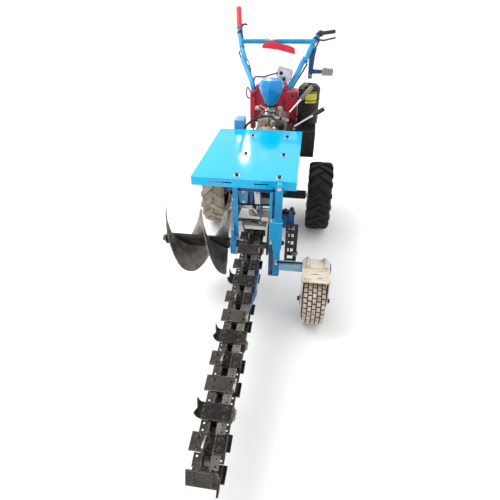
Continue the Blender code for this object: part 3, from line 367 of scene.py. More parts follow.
class Piece:
    """Closed solids collected in one mesh, which then becomes one shown object on a body."""

    def __init__(self, name, body, bevel=0.0, matrix=None, stands_for=()):
        self.name, self.body, self.bevel = name, body, bevel
        self.matrix = matrix or Matrix.Identity(4)
        self.stands_for = stands_for
        self.mesh = bmesh.new()
        self.looks = []

    def paint(self, faces, look):
        if look not in self.looks:
            self.looks.append(look)
        for face in faces:
            face.material_index = self.looks.index(look)

    def loft(self, sections, look, ring=False):
        """Skin over equal sections; a ring joins the last to the first, else both ends close."""
        rows = [[self.mesh.verts.new(p) for p in section] for section in sections]
        pairs = list(zip(rows, rows[1:])) + ([(rows[-1], rows[0])] if ring else [])
        faces = []
        for near, far in pairs:
            for i in range(len(near)):
                j = (i + 1) % len(near)
                faces.append(self.mesh.faces.new((near[i], near[j], far[j], far[i])))
        if not ring:
            faces.append(self.mesh.faces.new(rows[0][::-1]))
            faces.append(self.mesh.faces.new(rows[-1]))
        self.paint(faces, look)

    def box(self, low, high, look, matrix=None):
        turn = matrix or Matrix.Identity(4)
        corners = [(low[0], low[1]), (high[0], low[1]), (high[0], high[1]), (low[0], high[1])]
        self.loft([[turn @ Vector((x, y, z)) for x, y in corners] for z in (low[2], high[2])], look)

    def bar(self, start, end, width, height, look, up=Z):
        """A rectangular bar between two points."""
        start, end = Vector(start), Vector(end)
        way = end - start
        turn = axes(way, up.cross(way), start)
        self.box((0, -width / 2, -height / 2), (way.length, width / 2, height / 2), look, turn)

    def slab(self, outline, thickness, matrix, look, holes=()):
        """An outline in a matrix's XY plane, given thickness about it, with round holes."""
        if not holes:
            self.loft(
                [[matrix @ Vector((x, y, z)) for x, y in outline]
                 for z in (-thickness / 2, thickness / 2)], look)
            return
        loops = [outline]
        for x, y, radius in holes:
            loops.append([(x + radius * cos(pi * i / 7), y + radius * sin(pi * i / 7)) for i in range(14)])
        faces = []
        levels = []
        for z in (-thickness / 2, thickness / 2):
            level = [[self.mesh.verts.new(matrix @ Vector((x, y, z))) for x, y in loop] for loop in loops]
            edges = [
                self.mesh.edges.new((loop[i], loop[(i + 1) % len(loop)])) for loop in level
                for i in range(len(loop))]
            filled = bmesh.ops.triangle_fill(self.mesh, edges=edges, use_beauty=True)
            faces += [f for f in filled["geom"] if isinstance(f, bmesh.types.BMFace)]
            levels.append(level)
        for lower, upper in zip(*levels):
            for i in range(len(lower)):
                j = (i + 1) % len(lower)
                faces.append(self.mesh.faces.new((lower[i], lower[j], upper[j], upper[i])))
        self.paint(faces, look)

    def turned(self, profile, matrix, look, steps=24, ring=False):
        """Circles of (radius, height) about a matrix's Z."""
        self.loft(
            [circle(radius, steps, matrix @ Matrix.Translation((0, 0, height))) for radius,
             height in profile], look, ring)

    def rod(self, points, radius, look, sides=14):
        """A tube along points; radius may be one number or one for each point."""
        points = [Vector(p) for p in points]
        radii = radius if isinstance(radius, (list, tuple)) else [radius] * len(points)
        ways = [(b - a).normalized() for a, b in zip(points, points[1:])]
        ways = [ways[0]] + [(a + b).normalized() for a, b in zip(ways, ways[1:])] + [ways[-1]]
        side = facing(ways[0]).to_3x3().col[0]
        sections = []
        for place, way, size in zip(points, ways, radii):
            side = (side - way * side.dot(way)).normalized()
            other = way.cross(side)
            angles = [2 * pi * i / sides for i in range(sides)]
            sections.append([place + side * size * cos(a) + other * size * sin(a) for a in angles])
        self.loft(sections, look)

    def tube(self, route, radius, look, sides=14):
        """A rod along a smooth route."""
        self.rod(smooth_path(route), radius, look, sides)

    def hex_bolt(self, place, way, size, look=None, washer=True):
        """A bolt head with its washer, standing on a face at a place."""
        look = look or BRIGHT_STEEL
        turn = facing(way, place)
        if washer:
            self.turned([(size * 1.35, -0.0005), (size * 1.35, size * 0.22)], turn, look, 18)
        low = size * 0.2
        self.turned([(size, low), (size, size * 0.95), (size * 0.86, size * 1.1)], turn, look, 6)

    def dome_bolt(self, place, way, size, look=None):
        turn = facing(way, place)
        self.turned(
            [(size, -0.0005), (size * 0.97, size * 0.35), (size * 0.75, size * 0.65),
             (size * 0.3, size * 0.82)], turn, look or PLATE_STEEL, 14)

    def sheet(self, rows, thickness, look):
        """A closed sheet from a grid of points, given thickness along its own normals."""
        count = len(rows[0])
        normals = []
        for i, row in enumerate(rows):
            line = []
            for j in range(count):
                down = rows[min(i + 1, len(rows) - 1)][j] - rows[max(i - 1, 0)][j]
                side = row[min(j + 1, count - 1)] - row[max(j - 1, 0)]
                line.append(down.cross(side).normalized())
            normals.append(line)
        layers = []
        for sign in (-0.5, 0.5):
            layers.append(
                [[self.mesh.verts.new(p + n * thickness * sign) for p, n in zip(row, line)] for row,
                 line in zip(rows, normals)])
        faces = []
        for layer in layers:
            for near, far in zip(layer, layer[1:]):
                for j in range(count - 1):
                    faces.append(self.mesh.faces.new((near[j], near[j + 1], far[j + 1], far[j])))
        rims = []
        for layer in layers:
            rims.append(
                layer[0][:] + [row[-1] for row in layer[1:-1]] + layer[-1][::-1]
                + [row[0] for row in layer[-2:0:-1]])
        for j in range(len(rims[0])):
            k = (j + 1) % len(rims[0])
            faces.append(self.mesh.faces.new((rims[0][j], rims[0][k], rims[1][k], rims[1][j])))
        self.paint(faces, look)

    def done(self, angle=38, segments=2):
        bmesh.ops.recalc_face_normals(self.mesh, faces=self.mesh.faces)
        for face in self.mesh.faces:
            face.smooth = True
        bmesh.ops.transform(
            self.mesh, matrix=Matrix.Translation(ORIGIN) @ self.matrix, verts=self.mesh.verts)
        data = bpy.data.meshes.new(self.name)
        self.mesh.to_mesh(data)
        self.mesh.free()
        data.set_sharp_from_angle(angle=radians(angle))
        for look in self.looks:
            data.materials.append(look)
        shown = bpy.data.objects.new(self.name, data)
        bpy.context.scene.collection.objects.link(shown)
        if self.bevel:
            round_edges(shown, self.bevel, segments)
        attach(shown, self.body)
        if self.stands_for:
            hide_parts(*self.stands_for)
        return shown


def round_edges(shown, width, segments=2):
    modifier = shown.modifiers.new("rounded", "BEVEL")
    modifier.width = width
    modifier.segments = segments
    modifier.limit_method = "ANGLE"
    modifier.angle_limit = radians(38)
    modifier.harden_normals = True
    modifier.use_clamp_overlap = True


def wobble(point, size, scale):
    """Smooth pseudo-random offset of a point, the same on every run."""
    return noise.noise_vector(Vector(point) * scale) * size


# ---------------------------------------------------------------- digging chain
class Loop:
    """The digging chain's pitch line round its two sprockets, in the boom's side plane."""

    def __init__(self):
        self.first = CHAIN_PITCH / (2 * sin(pi / DRIVE_TEETH))
        self.second = CHAIN_PITCH / (2 * sin(pi / TIP_TEETH))
        self.lean = asin((self.first - self.second) / BOOM_LENGTH)
        self.straight = BOOM_LENGTH * cos(self.lean)
        self.top = pi / 2 - self.lean
        self.length = CHAIN_PITCH * CHAIN_LINKS

    def at(self, travelled):
        """Distance along the boom and height above it, after a way from the upper run's start."""
        travelled %= self.length
        top = self.top
        if travelled < self.straight:
            return Vector(
                (self.first * cos(top) + travelled * cos(self.lean),
                 self.first * sin(top) - travelled * sin(self.lean)))
        travelled -= self.straight
        if travelled < 2 * top * self.second:
            angle = top - travelled / self.second
            return Vector((BOOM_LENGTH + self.second * cos(angle), self.second * sin(angle)))
        travelled -= 2 * top * self.second
        if travelled < self.straight:
            return Vector(
                (BOOM_LENGTH + self.second * cos(top) - travelled * cos(self.lean),
                 -self.second * sin(top) - travelled * sin(self.lean)))
        angle = -top - (travelled - self.straight) / self.first
        return Vector((self.first * cos(angle), self.first * sin(angle)))

    def link(self, number):
        """A link's matrix in the boom's frame: X across, Y towards the link before, Z outward."""
        start = self.at(CHAIN_PITCH * (number + CUTTER_PHASE - 0.5))
        end = self.at(CHAIN_PITCH * (number + CUTTER_PHASE + 0.5))
        way = Vector((0, -(end - start).x, (end - start).y)).normalized()
        place = (start + end) / 2
        turn = Matrix((X, -way, way.cross(X))).transposed().to_4x4()
        return Matrix.Translation((0, -place.x, place.y)) @ turn


LOOP = Loop()
LINK_PLATE = 0.003
BRACKET_Z = 0.0068
CUTTER_BASE = 0.009
CUTTER_PLATE = 0.0058
CUTTER_HALF = 0.0305
SIDE_VIEW = Matrix((Y, Z, X)).transposed().to_4x4()     # draws an outline in the chain's side plane


def obround(length, height, steps=6):
    """Outline of a link plate: two half circles joined by straight sides."""
    half = height / 2
    right = [
        (length / 2 + half * cos(a), half * sin(a))
        for a in (-pi / 2 + pi * i / steps for i in range(steps + 1))]
    left = [(-x, -y) for x, y in right]
    return right + left


def chain_link(links, number):
    """Rollers, pins, link plates and the bracket on each side of one link."""
    turn = LOOP.link(number)
    outer = number % 2 == 0
    offset = 0.017 if outer else 0.0132
    for sign in (-1, 1):
        plate = turn @ Matrix.Translation((sign * offset, 0, 0)) @ SIDE_VIEW
        links.slab(obround(CHAIN_PITCH - 0.002, 0.0165), LINK_PLATE, plate, DARK_STEEL)
    pin = turn @ Matrix.Translation((0, CHAIN_PITCH / 2, 0)) @ Matrix.Rotation(pi / 2, 4, "Y")
    links.turned([(0.0042, -0.0205), (0.0042, 0.0205)], pin, BRACKET_STEEL, 12)
    links.turned(
        [(0.009, -0.0105), (0.0096, -0.0095), (0.0096, 0.0095), (0.009, 0.0105)], pin, DARK_STEEL, 18)
    half = 0.0245 if outer else 0.0215
    look = BRACKET_STEEL if number % 2 else PLATE_STEEL
    for sign in (-1, 1):
        inner, end = sorted((sign * 0.015, sign * 0.0445))
        outline = [(inner, -half), (end, -half), (end, half), (inner, half)]
        middle_x = sign * 0.0325
        holes = [(middle_x, -0.0115, 0.0036), (middle_x, 0.0115, 0.0036)]
        face = turn @ Matrix.Translation((0, 0, BRACKET_Z))
        links.slab(outline, 0.0034, face, look if sign > 0 else PLATE_STEEL, () if outer else holes)
        links.bar(
            turn @ Vector((sign * 0.0165, -0.018, 0.001)), turn @ Vector((sign * 0.0165, 0.018, 0.001)),
            0.0036, 0.014, PLATE_STEEL, (turn.to_3x3() @ Z))


def fin(cutter, turn, start, sign, reach, height, look, half=0.03, notch=0.019):
    """A blade that leaves a plate's end, sweeps up and ends in a fishtail."""
    rows = []
    steps = 8
    base = CUTTER_BASE + CUTTER_PLATE / 2
    for i in range(steps + 1):
        share = i / steps
        angle = radians(86) * share ** 1.2
        x = start + sign * reach * sin(min(angle, pi / 2)) * (1 - 0.15 * share)
        z = base + height * (1 - cos(angle)) * (0.9 + 0.1 * share)
        row = []
        for j in range(7):
            across = j / 3 - 1
            width = half * (1 - 0.1 * share)
            dip = notch * max(0.0, share - 0.5) / 0.5 * (1 - abs(across))
            row.append(turn @ Vector((x - sign * dip * 0.3, across * width, z - dip)))
        rows.append(row)
    cutter.sheet(rows, 0.0052, look)


def cutter_plate(cutters, turn, left, right, look):
    outline = [(left, -CUTTER_HALF), (right, -CUTTER_HALF), (right, CUTTER_HALF), (left, CUTTER_HALF)]
    place = turn @ Matrix.Translation((0, 0, CUTTER_BASE + CUTTER_PLATE / 2))
    cutters.slab(outline, CUTTER_PLATE, place, look)


def cutter_bolts(cutters, turn, columns):
    """Round heads above a cutter plate and nuts under it."""
    top = CUTTER_BASE + CUTTER_PLATE
    for x in columns:
        for y in (-0.0155, 0.0155):
            cutters.dome_bolt(turn @ Vector((x, y, top)), turn.to_3x3() @ Z, 0.0072)
            cutters.turned(
                [(0.0062, 0.0), (0.0062, 0.0055)],
                turn @ Matrix.Translation((x, y, -0.0005)), DARK_STEEL, 6)


def tooth(cutters, turn, x, height, look):
    """A hard tip: a small wedge with ground faces, standing on the plate's front edge."""
    base = CUTTER_BASE + CUTTER_PLATE - 0.0005
    side = [(0.022, 0.0), (-0.026, 0.0), (-0.029, height), (-0.016, height * 0.96), (0.004, 0.016)]
    cutters.slab(side, 0.0065, turn @ Matrix.Translation((x, 0, base)) @ SIDE_VIEW, look)


def cutter(cutters, turn, kind):
    """One cutter: corner tooth (ground bright, or dark), swept end blade, or swept middle blade."""
    # The swept blades and the plate ends they rise from take the shaded plate steel: painted shade. The
    # 'worn' corner tooth is drawn in it too.
    if kind in ("corner", "worn"):
        cutter_plate(cutters, turn, -0.06, 0.047, PLATE_STEEL)
        cutter_bolts(cutters, turn, (-0.031, 0.031))
        tooth(cutters, turn, 0.0505, 0.0286, BRIGHT_EDGE if kind == "corner" else SHADED_PLATE)
    elif kind == "end":
        cutter_plate(cutters, turn, -0.046, 0.058, SHADED_PLATE)
        cutter_bolts(cutters, turn, (-0.031, 0.034))
        fin(cutters, turn, -0.045, -1, 0.026, 0.04, SHADED_PLATE)
    else:
        cutter_plate(cutters, turn, -0.064, -0.019, PLATE_STEEL)
        cutter_plate(cutters, turn, 0.018, 0.058, SHADED_PLATE)
        cutter_bolts(cutters, turn, (-0.04, 0.036))
        fin(cutters, turn, 0.019, -1, 0.029, 0.036, SHADED_PLATE)
        tooth(cutters, turn, -0.0145, 0.03, BRIGHT_EDGE)


CUTTER_ORDER = (
    ("middle", "corner", "middle", "end") + ("middle", "corner", "end") * 2 + ("middle", "worn", "end")
    + ("middle", "corner", "end") * 4)


def digging_chain():
    links = Piece("chain_links", "boom", 0.0005, BOOM, ("digging_chain",))
    for number in range(CHAIN_LINKS):
        chain_link(links, number)
    links.done(segments=1)
    cutters = Piece("chain_cutters", "boom", 0.0009, BOOM, ("digging_chain",))
    for number in range(CHAIN_LINKS // 2):
        cutter(cutters, LOOP.link(2 * number), CUTTER_ORDER[number])
    cutters.done()
    # Dark centre rail and thin dark strips on the bar's top under the chain: painted shade where the chain
    # shadows the bar between its links.
    rail = Piece("chain_shade_rail", "boom", 0.0006, BOOM)
    rail.box((-0.0125, -(BOOM_LENGTH - 0.075), 0.02), (0.0125, -0.095, 0.0385), DARK_STEEL)
    edge, top = BAR_HALF_WIDTH - 0.001, BAR_HEIGHT / 2
    for side in (-1, 1):
        inner, outer = sorted((side * 0.0205, side * edge))
        rail.box((inner, -(BOOM_LENGTH + 0.02), top), (outer, -0.195, top + 0.0008), DARK_STEEL)
    rail.done()


digging_chain()


# ---------------------------------------------------------------- auger
AUGER_PITCH = 0.337
AUGER_FLIGHTS = ((-0.47, -0.487), (-0.274, -0.358))     # each flight's top of the rim, and its start
AUGER_RIM = 0.176
AUGER_HUB = 0.026
AUGER_STEPS = 110


def auger():
    """Two worn helical flights on a pipe hub."""
    low, high = spans("auger")
    screw = Piece("auger_screw", "digger_drive", 0.0, None, ("auger",))
    hub = facing(X, (0, SHAFT.y, SHAFT.z))
    screw.turned(
        [(0.0315, low.x + 0.006), (0.0315, high.x), (0.019, high.x), (0.019, low.x + 0.006)], hub,
        DARK_STEEL, 36, ring=True)
    end = high.x - 0.008
    for top, start in AUGER_FLIGHTS:
        rows = []
        for i in range(AUGER_STEPS + 1):
            x = start + (end - start) * i / AUGER_STEPS
            angle = pi / 2 + 2 * pi * (x - top) / AUGER_PITCH
            worn = 0.0035 * noise.noise(Vector((x * 22.0, angle, 3.0)))
            row = []
            for j in range(9):
                radius = AUGER_HUB + (AUGER_RIM + worn - AUGER_HUB) * j / 8
                lean = 0.003 * noise.noise(Vector((x * 14.0, j * 0.4, 7.0)))
                row.append(Vector((x + lean, SHAFT.y + radius * cos(angle), SHAFT.z + radius * sin(angle))))
            rows.append(row)
        screw.sheet(rows, 0.0046, WORN_STEEL)
    screw.turned(
        [(0.02, -0.004), (0.02, 0.004)], facing(X, (low.x + 0.003, SHAFT.y, SHAFT.z)), DARK_STEEL, 24)
    screw.hex_bolt((low.x - 0.001, SHAFT.y, SHAFT.z), -X, 0.011, DARK_STEEL)
    screw.done(50)


# ---------------------------------------------------------------- wheels
LUG_PAIRS = 17
LUG_SWEEP = -0.26                    # radians a lug turns back round the tyre over its length
BLOCK_ROWS = 28
BLOCK_COLUMNS = 5


def round_the(middle_point, x, angle, radius):
    return middle_point + Vector((x, radius * cos(angle), radius * sin(angle)))


def tyre_sizes(node, rim_node):
    """A tyre's middle, outer radius, half width and the radius where it meets its rim."""
    low, high = spans(node)
    rim_low, rim_high = spans(rim_node)
    return (low + high) / 2, (high.z - low.z) / 2, (high.x - low.x) / 2, (
        rim_high.z - rim_low.z) / 2 + 0.0005


def carcass(tyre, middle_point, radius, half, rim, look, steps=64):
    """Hollow rubber section, open towards the rim."""
    height = radius - rim
    outer = [
        (rim, 0.66), (rim + 0.1 * height, 0.76), (rim + 0.36 * height, 0.97), (rim + 0.58 * height, 1.0),
        (rim + 0.8 * height, 0.95), (rim + 0.94 * height, 0.8), (radius, 0.45), (radius, 0.0)]
    profile = [(r, -half * share) for r, share in outer]
    profile += [(r, half * share) for r, share in outer[-2::-1]]
    profile += [
        (rim, half * 0.52), (rim + 0.75 * height, half * 0.6),
        (rim + 0.75 * height, -half * 0.6), (rim, -half * 0.52)]
    tyre.turned(profile, facing(X, middle_point), look, steps, ring=True)


def lug(tyre, middle_point, side, angle, reach, sizes, look, rough):
    """One tread bar from the shoulder past the middle, swept round the tyre."""
    half, base, crown, width = sizes
    sections = []
    for share, drop, swell in (
            (0.0, 0.016, 1.25), (0.16, 0.003, 1.15), (0.5, 0.0, 1.0), (0.85, 0.0, 0.9), (1.0, 0.0, 0.75)):
        x = side * half * (0.985 - 1.05 * share)
        turn = angle + reach * share
        top = crown - drop
        low = base - 0.004 - drop * 1.9
        section = []
        for offset, radius in ((-0.5, low), (0.5, low), (0.4, top), (-0.4, top)):
            point = round_the(middle_point, x, turn + offset * width * swell / crown, radius)
            section.append(point + wobble(point, rough, 30.0))
        sections.append(section)
    tyre.loft(sections, look)


def main_tyre(node, rim_node, look, rough, width):
    """Tractor tyre with slanting lugs that meet in turn from both shoulders."""
    middle_point, outer, half, rim = tyre_sizes(node, rim_node)
    tyre = Piece(node + "_lugged", "wheels", 0.0022, None, (node,))
    base = outer - 0.019
    carcass(tyre, middle_point, base, half - 0.004, rim, look)
    for i in range(LUG_PAIRS):
        for side, shift in ((-1, 0.0), (1, 0.5)):
            angle = 2 * pi * (i + shift) / LUG_PAIRS - pi / 2
            lug(tyre, middle_point, side, angle, LUG_SWEEP, (half, base, outer - rough, width), look, rough)
    tyre.done(32)


def wheel_fittings():
    """Hub flanges, wheel bolts and valves on the main rims."""
    for side, sign in (("left", -1), ("right", 1)):
        low, high = spans("rim_" + side)
        place = (low + high) / 2
        name = "wheel_hub_" + side
        hub = Piece(name, "wheels", 0.0006)
        face = Vector((place.x + sign * 0.004, place.y, place.z))
        out = facing((sign, 0, 0), face)
        hub.turned(
            [(0.058, 0.0), (0.058, 0.006), (0.04, 0.01), (0.036, 0.03), (0.03, 0.034)],
            out, BLACK_PAINT, 28)
        for i in range(5):
            angle = 2 * pi * i / 5
            spot = face + Vector((sign * 0.006, 0.047 * cos(angle), 0.047 * sin(angle)))
            hub.hex_bolt(spot, (sign, 0, 0), 0.0075)
        hub.hex_bolt(face + Vector((sign * 0.034, 0, 0)), (sign, 0, 0), 0.013)
        valve = face + Vector((0, 0, 0.098))
        hub.rod([valve, valve + Vector((sign * 0.028, 0, -0.004))], 0.0035, BLACK_RUBBER, 10)
        hub.done()


def depth_tyre():
    """Small tyre with rows of square blocks."""
    middle_point, outer, half, rim = tyre_sizes("depth_tyre", "depth_rim")
    tyre = Piece("depth_tyre_blocks", "depth_wheel", 0.0011, None, ("depth_tyre",))
    carcass(tyre, middle_point, outer - 0.006, half - 0.002, rim, TREAD_DARK, 56)
    pitch = 2 * half * 0.94 / BLOCK_COLUMNS
    for column in range(BLOCK_COLUMNS):
        x = (column - (BLOCK_COLUMNS - 1) / 2) * pitch
        drop = 0.01 * (abs(x) / half) ** 2.2
        crown, base = outer - drop, outer - 0.01 - drop * 1.3
        for row in range(BLOCK_ROWS):
            turn = 2 * pi * (row + 0.5 * (column % 2)) / BLOCK_ROWS - pi / 2
            sections = []
            for radius, share in ((base, 0.43), (crown - 0.0015, 0.38), (crown, 0.3)):
                section = []
                for across, along in ((-1, -1), (1, -1), (1, 1), (-1, 1)):
                    edge = x + across * pitch * share
                    swing = along * share * 2 * pi / BLOCK_ROWS
                    bow = 0.0 if abs(edge) < half * 0.7 else 0.004 * (abs(edge) / half)
                    section.append(round_the(middle_point, edge, turn + swing, radius - bow))
                sections.append(section)
            tyre.loft(sections, TREAD_DUST)
    tyre.done(30, 1)


auger()
main_tyre("tyre_left", "rim_left", TYRE_MUD, 0.0045, 0.04)
main_tyre("tyre_right", "rim_right", TYRE_BLACK, 0.0012, 0.03)
wheel_fittings()
depth_tyre()


# ---------------------------------------------------------------- deck and frame
DECK_BOLT_Y = (-0.086, -0.371, -0.656)
UNDER_DECK = DECK_HIGH.z - 0.003


def deck_bolts():
    """Bright washers under dark heads, over the two frame rails."""
    bolts = Piece("deck_bolts", "chassis", 0.0004)
    for x in RAIL_X:
        for y in DECK_BOLT_Y:
            spot = Vector((x + 0.01, y, DECK_HIGH.z))
            bolts.turned([(0.017, -0.0005), (0.016, 0.0022)], facing(Z, spot), BRIGHT_STEEL, 24)
            bolts.hex_bolt(spot + Z * 0.002, Z, 0.0095, DARK_STEEL, washer=False)
    bolts.done()


def deck_stiffeners():
    """Two angle ribs under the deck."""
    ribs = Piece("deck_ribs", "chassis", 0.0006)
    low, high = DECK_LOW, DECK_HIGH
    for x in (low.x + 0.055, high.x - 0.055):
        ribs.box(
            (x - 0.0015, low.y + 0.03, UNDER_DECK - 0.022),
            (x + 0.0015, high.y - 0.03, UNDER_DECK), SHADED_BLUE)
        ribs.box((x, low.y + 0.03, UNDER_DECK - 0.003), (x + 0.018, high.y - 0.03, UNDER_DECK), SHADED_BLUE)
    ribs.done()


def left_post_details():
    """Welded lug, bearing flange, strip and bolts on the left post."""
    low, high = spans("left_post")
    post = Piece("left_post_details", "chassis", 0.0009)
    post.slab(
        [(-0.012, 0.0), (0.004, 0.0), (0.004, 0.06), (-0.003, 0.075), (-0.012, 0.06)], 0.016,
        axes(Y, Z, (low.x + 0.012, low.y + 0.03, SHAFT.z + 0.035)), SKY_BLUE)
    bearing = facing(-X, (low.x + 0.0015, SHAFT.y, SHAFT.z))
    post.turned([(0.04, -0.001), (0.04, 0.004), (0.03, 0.009), (0.024, 0.009)], bearing, SKY_BLUE, 32)
    for i in range(4):
        angle = pi / 4 + pi / 2 * i
        spot = bearing @ Vector((0.05 * cos(angle), 0.05 * sin(angle), -0.001))
        post.hex_bolt(spot, -X, 0.0065)
    for z in (0.664, 0.64):
        post.hex_bolt((high.x - 0.014, low.y + 0.0665, z), -Y, 0.0065)
    post.bar(
        (low.x + 0.005, low.y + 0.072, SHAFT.z + 0.09), (low.x + 0.005, low.y + 0.072, 0.6),
        0.01, 0.003, PALE_BLUE, X)
    cluster = Vector((low.x - 0.006, low.y + 0.105, 0.498))
    for shift, size in (
            ((0, 0, 0), 0.011), ((-0.012, 0.012, -0.018), 0.008), ((0.004, 0.008, 0.022), 0.008)):
        post.hex_bolt(cluster + Vector(shift), (-0.4, -1, 0.1), size)
        post.rod(
            [cluster + Vector(shift), cluster + Vector(shift) + Vector((0.016, 0.016, 0))],
            0.005, BRIGHT_STEEL, 10)
    post.done()


CHANNEL_FRONT = -0.7203


def channel_details():
    """Bright strip, a painted highlight where light falls on the shaded channel's edge, with weld beads and
    bolts on the right channel.
    """
    low, high = spans("right_channel")
    front = CHANNEL_FRONT
    trim = Piece("channel_details", "chassis", 0.0007)
    # Strip in the bright deck blue laid over the shaded channel: a painted highlight.
    trim.box((low.x - 0.001, front - 0.0022, 0.345), (low.x + 0.0115, front, high.z - 0.004), DECK_BLUE)
    for z in (0.602, 0.59, 0.33, 0.16):
        trim.hex_bolt((low.x + 0.0195, front, z), -Y, 0.0062, DARK_STEEL)
    bead = [(low.x + 0.012 + 0.0009 * (i % 2), front - 0.001, 0.35 + 0.006 * i) for i in range(26)]
    trim.rod(bead, 0.0022, DECK_BLUE, 8)
    trim.done()


def sleeve_details():
    """Clamp flange and bolts on the leg's sleeve, with the weld round its top."""
    low, high = spans("leg_sleeve")
    part = Piece("sleeve_details", "chassis", 0.0008)
    part.box(
        (low.x - 0.02, high.y - 0.014, low.z + 0.006),
        (low.x + 0.001, high.y - 0.009, high.z - 0.002), DECK_BLUE)
    for z in (high.z - 0.012, low.z + 0.024):
        spot = Vector((low.x - 0.01, high.y - 0.014, z))
        part.hex_bolt(spot, -Y, 0.0085)
        part.rod([spot, spot + Y * 0.02], 0.0045, BRIGHT_STEEL, 12)
        part.hex_bolt(spot + Y * 0.008, Y, 0.008)
    part.box(
        (low.x - 0.0022, low.y - 0.0022, high.z - 0.0045),
        (high.x + 0.0022, high.y, high.z + 0.0002), DECK_BLUE)
    nut = Vector((high.x + 0.001, (low.y + high.y) / 2, low.z + 0.03))
    part.hex_bolt(nut, X, 0.0105, DARK_STEEL)
    part.rod([nut, nut + X * 0.034], 0.0048, BRIGHT_STEEL, 12)
    part.bar(nut + X * 0.034 - Y * 0.03, nut + X * 0.034 + Y * 0.002, 0.006, 0.006, DARK_STEEL)
    part.done()


def rack_clamp():
    """Dark clamp that holds the adjuster against the channel, and its bolts."""
    low = spans("adjuster_rack")[0]
    clamp = Piece("rack_clamp", "chassis", 0.0008)
    top = 0.548
    clamp.box((0.146, low.y + 0.054, top - 0.07), (low.x + 0.012, low.y + 0.059, top), SHADED_BLUE)
    clamp.box((0.15, low.y + 0.03, top - 0.012), (low.x + 0.01, low.y + 0.059, top), DARK_STEEL)
    for x, z in ((0.196, 0.57), (0.206, 0.546), (0.166, 0.56)):
        clamp.hex_bolt((x, low.y + 0.052, z), -Y, 0.0085, DARK_STEEL)
        clamp.rod([(x, low.y + 0.052, z), (x, low.y + 0.062, z)], 0.005, DARK_STEEL, 12)
    clamp.done()


def adjuster():
    """Black ladder of two side strips and flat rungs, with a locking bolt."""
    low, high = spans("adjuster_rack")
    rack = Piece("adjuster_ladder", "leg", 0.0008, None, ("adjuster_rack",))
    across = high.x - low.x
    front = low.y + 0.012
    for x, thick in ((low.x + 0.007, 0.014), (high.x - 0.01, 0.019)):
        rack.box((x - thick / 2, front, low.z), (x + thick / 2, front + 0.007, high.z), BLACK_PAINT)
    pitch = (high.z - low.z) / 5
    for i in range(6):
        z = low.z + pitch * i
        rack.box(
            (low.x + 0.003, front + 0.0005, max(low.z, z - 0.011)),
            (high.x - 0.004, front + 0.0065, min(high.z, z + 0.011)), BLACK_PAINT)
        rack.hex_bolt(
            (low.x + 0.007, front, min(high.z - 0.012, max(low.z + 0.012, z))), -Y, 0.0042, DARK_STEEL)
    spot = Vector((high.x - 0.01, front, low.z + 0.052))
    rack.hex_bolt(spot, -Y, 0.0125, DARK_STEEL)
    rack.rod([spot, spot - Y * 0.024], 0.0062, WORN_STEEL, 14)
    rack.hex_bolt(spot - Y * 0.01, -Y, 0.0105, WORN_STEEL)
    rod = Vector((low.x + across * 0.4, low.y + 0.024, high.z - 0.004))
    rack.rod([rod - Z * 0.18, rod], 0.004, DARK_STEEL, 12)
    rack.done()


def leg_details():
    """Bolt in the leg's top and weld where the arm leaves it."""
    low, high = LEG_LOW, LEG_HIGH
    top = Vector(((low.x + high.x) / 2, low.y, high.z - 0.02))
    leg = Piece("leg_details", "leg", 0.0006)
    leg.hex_bolt(top, -Y, 0.0075)
    leg.box(
        (low.x - 0.0012, low.y - 0.0012, high.z - 0.0055),
        (high.x + 0.0012, high.y + 0.0006, high.z), DECK_BLUE)
    arm_low, arm_high = spans("cross_arm")
    leg.box(
        (arm_high.x - 0.004, arm_low.y - 0.001, arm_low.z - 0.001),
        (arm_high.x + 0.0012, arm_high.y + 0.001, arm_high.z + 0.001), SHADED_BLUE)
    leg.rod(
        [(low.x + 0.02, arm_low.y + 0.008, arm_high.z + 0.009),
         (0.27, arm_low.y + 0.01, arm_high.z + 0.012)], 0.0042, DARK_STEEL, 12)
    for z in (arm_low.z + 0.012, arm_high.z - 0.008):
        leg.hex_bolt((low.x + 0.018, low.y, z), -Y, 0.0062)
    leg.done()


# ---------------------------------------------------------------- depth wheel's bracket
def fork():
    """Folded fork plate over the wheel: top, stiffening ribs, slots and two cheeks."""
    low, high = spans("wheel_bracket")
    wheel = centre("depth_tyre")
    made = Piece("wheel_fork", "leg", 0.0011, None, ("wheel_bracket",))
    top = high.z
    made.slab(
        [(low.x, low.y + 0.01), (low.x + 0.012, low.y), (high.x - 0.012, low.y), (high.x, low.y + 0.01),
         (high.x, high.y), (low.x, high.y)], 0.0075, Matrix.Translation((0, 0, top - 0.004)), CREAM_PAINT)
    for y in (low.y + 0.088, low.y + 0.02):
        made.box((low.x + 0.012, y, top - 0.003), (high.x - 0.012, y + 0.004, top + 0.001), CREAM_PAINT)
    for x, y, wide in ((-0.022, 0.058, 0.036), (0.004, 0.03, 0.03)):
        made.box(
            (wheel.x + x, low.y + y, top - 0.001), (wheel.x + x + wide, low.y + y + 0.0035, top + 0.0006),
            DARK_STEEL)
    made.bar(
        (low.x + 0.02, low.y + 0.048, top + 0.001), (low.x + 0.048, low.y + 0.06, top + 0.001),
        0.012, 0.005, CREAM_PAINT)
    made.dome_bolt((high.x - 0.018, low.y + 0.045, top), Z, 0.009, CREAM_PAINT)
    made.dome_bolt((low.x + 0.018, low.y + 0.075, top), Z, 0.007, CREAM_PAINT)
    edge = top - 0.006
    outline = [
        (-0.806, edge), (-low.y, edge), (-low.y, 0.232), (-0.906, 0.112), (-0.888, 0.099),
        (-0.862, 0.101), (-0.812, 0.205)]
    outline = [(-abs(y), z) for y, z in outline]
    for x in (low.x + 0.003, high.x - 0.003):
        made.slab(outline, 0.006, axes(Y, Z, (x, 0, 0)), CREAM_PAINT)
    for sign, x in ((-1, low.x), (1, high.x)):
        hub = Vector((x, wheel.y, wheel.z))
        made.turned([(0.022, -0.001), (0.022, 0.0018)], facing((sign, 0, 0), hub), CAST_METAL, 24)
        made.hex_bolt(hub, (sign, 0, 0), 0.0125, DARK_STEEL)
    made.done()


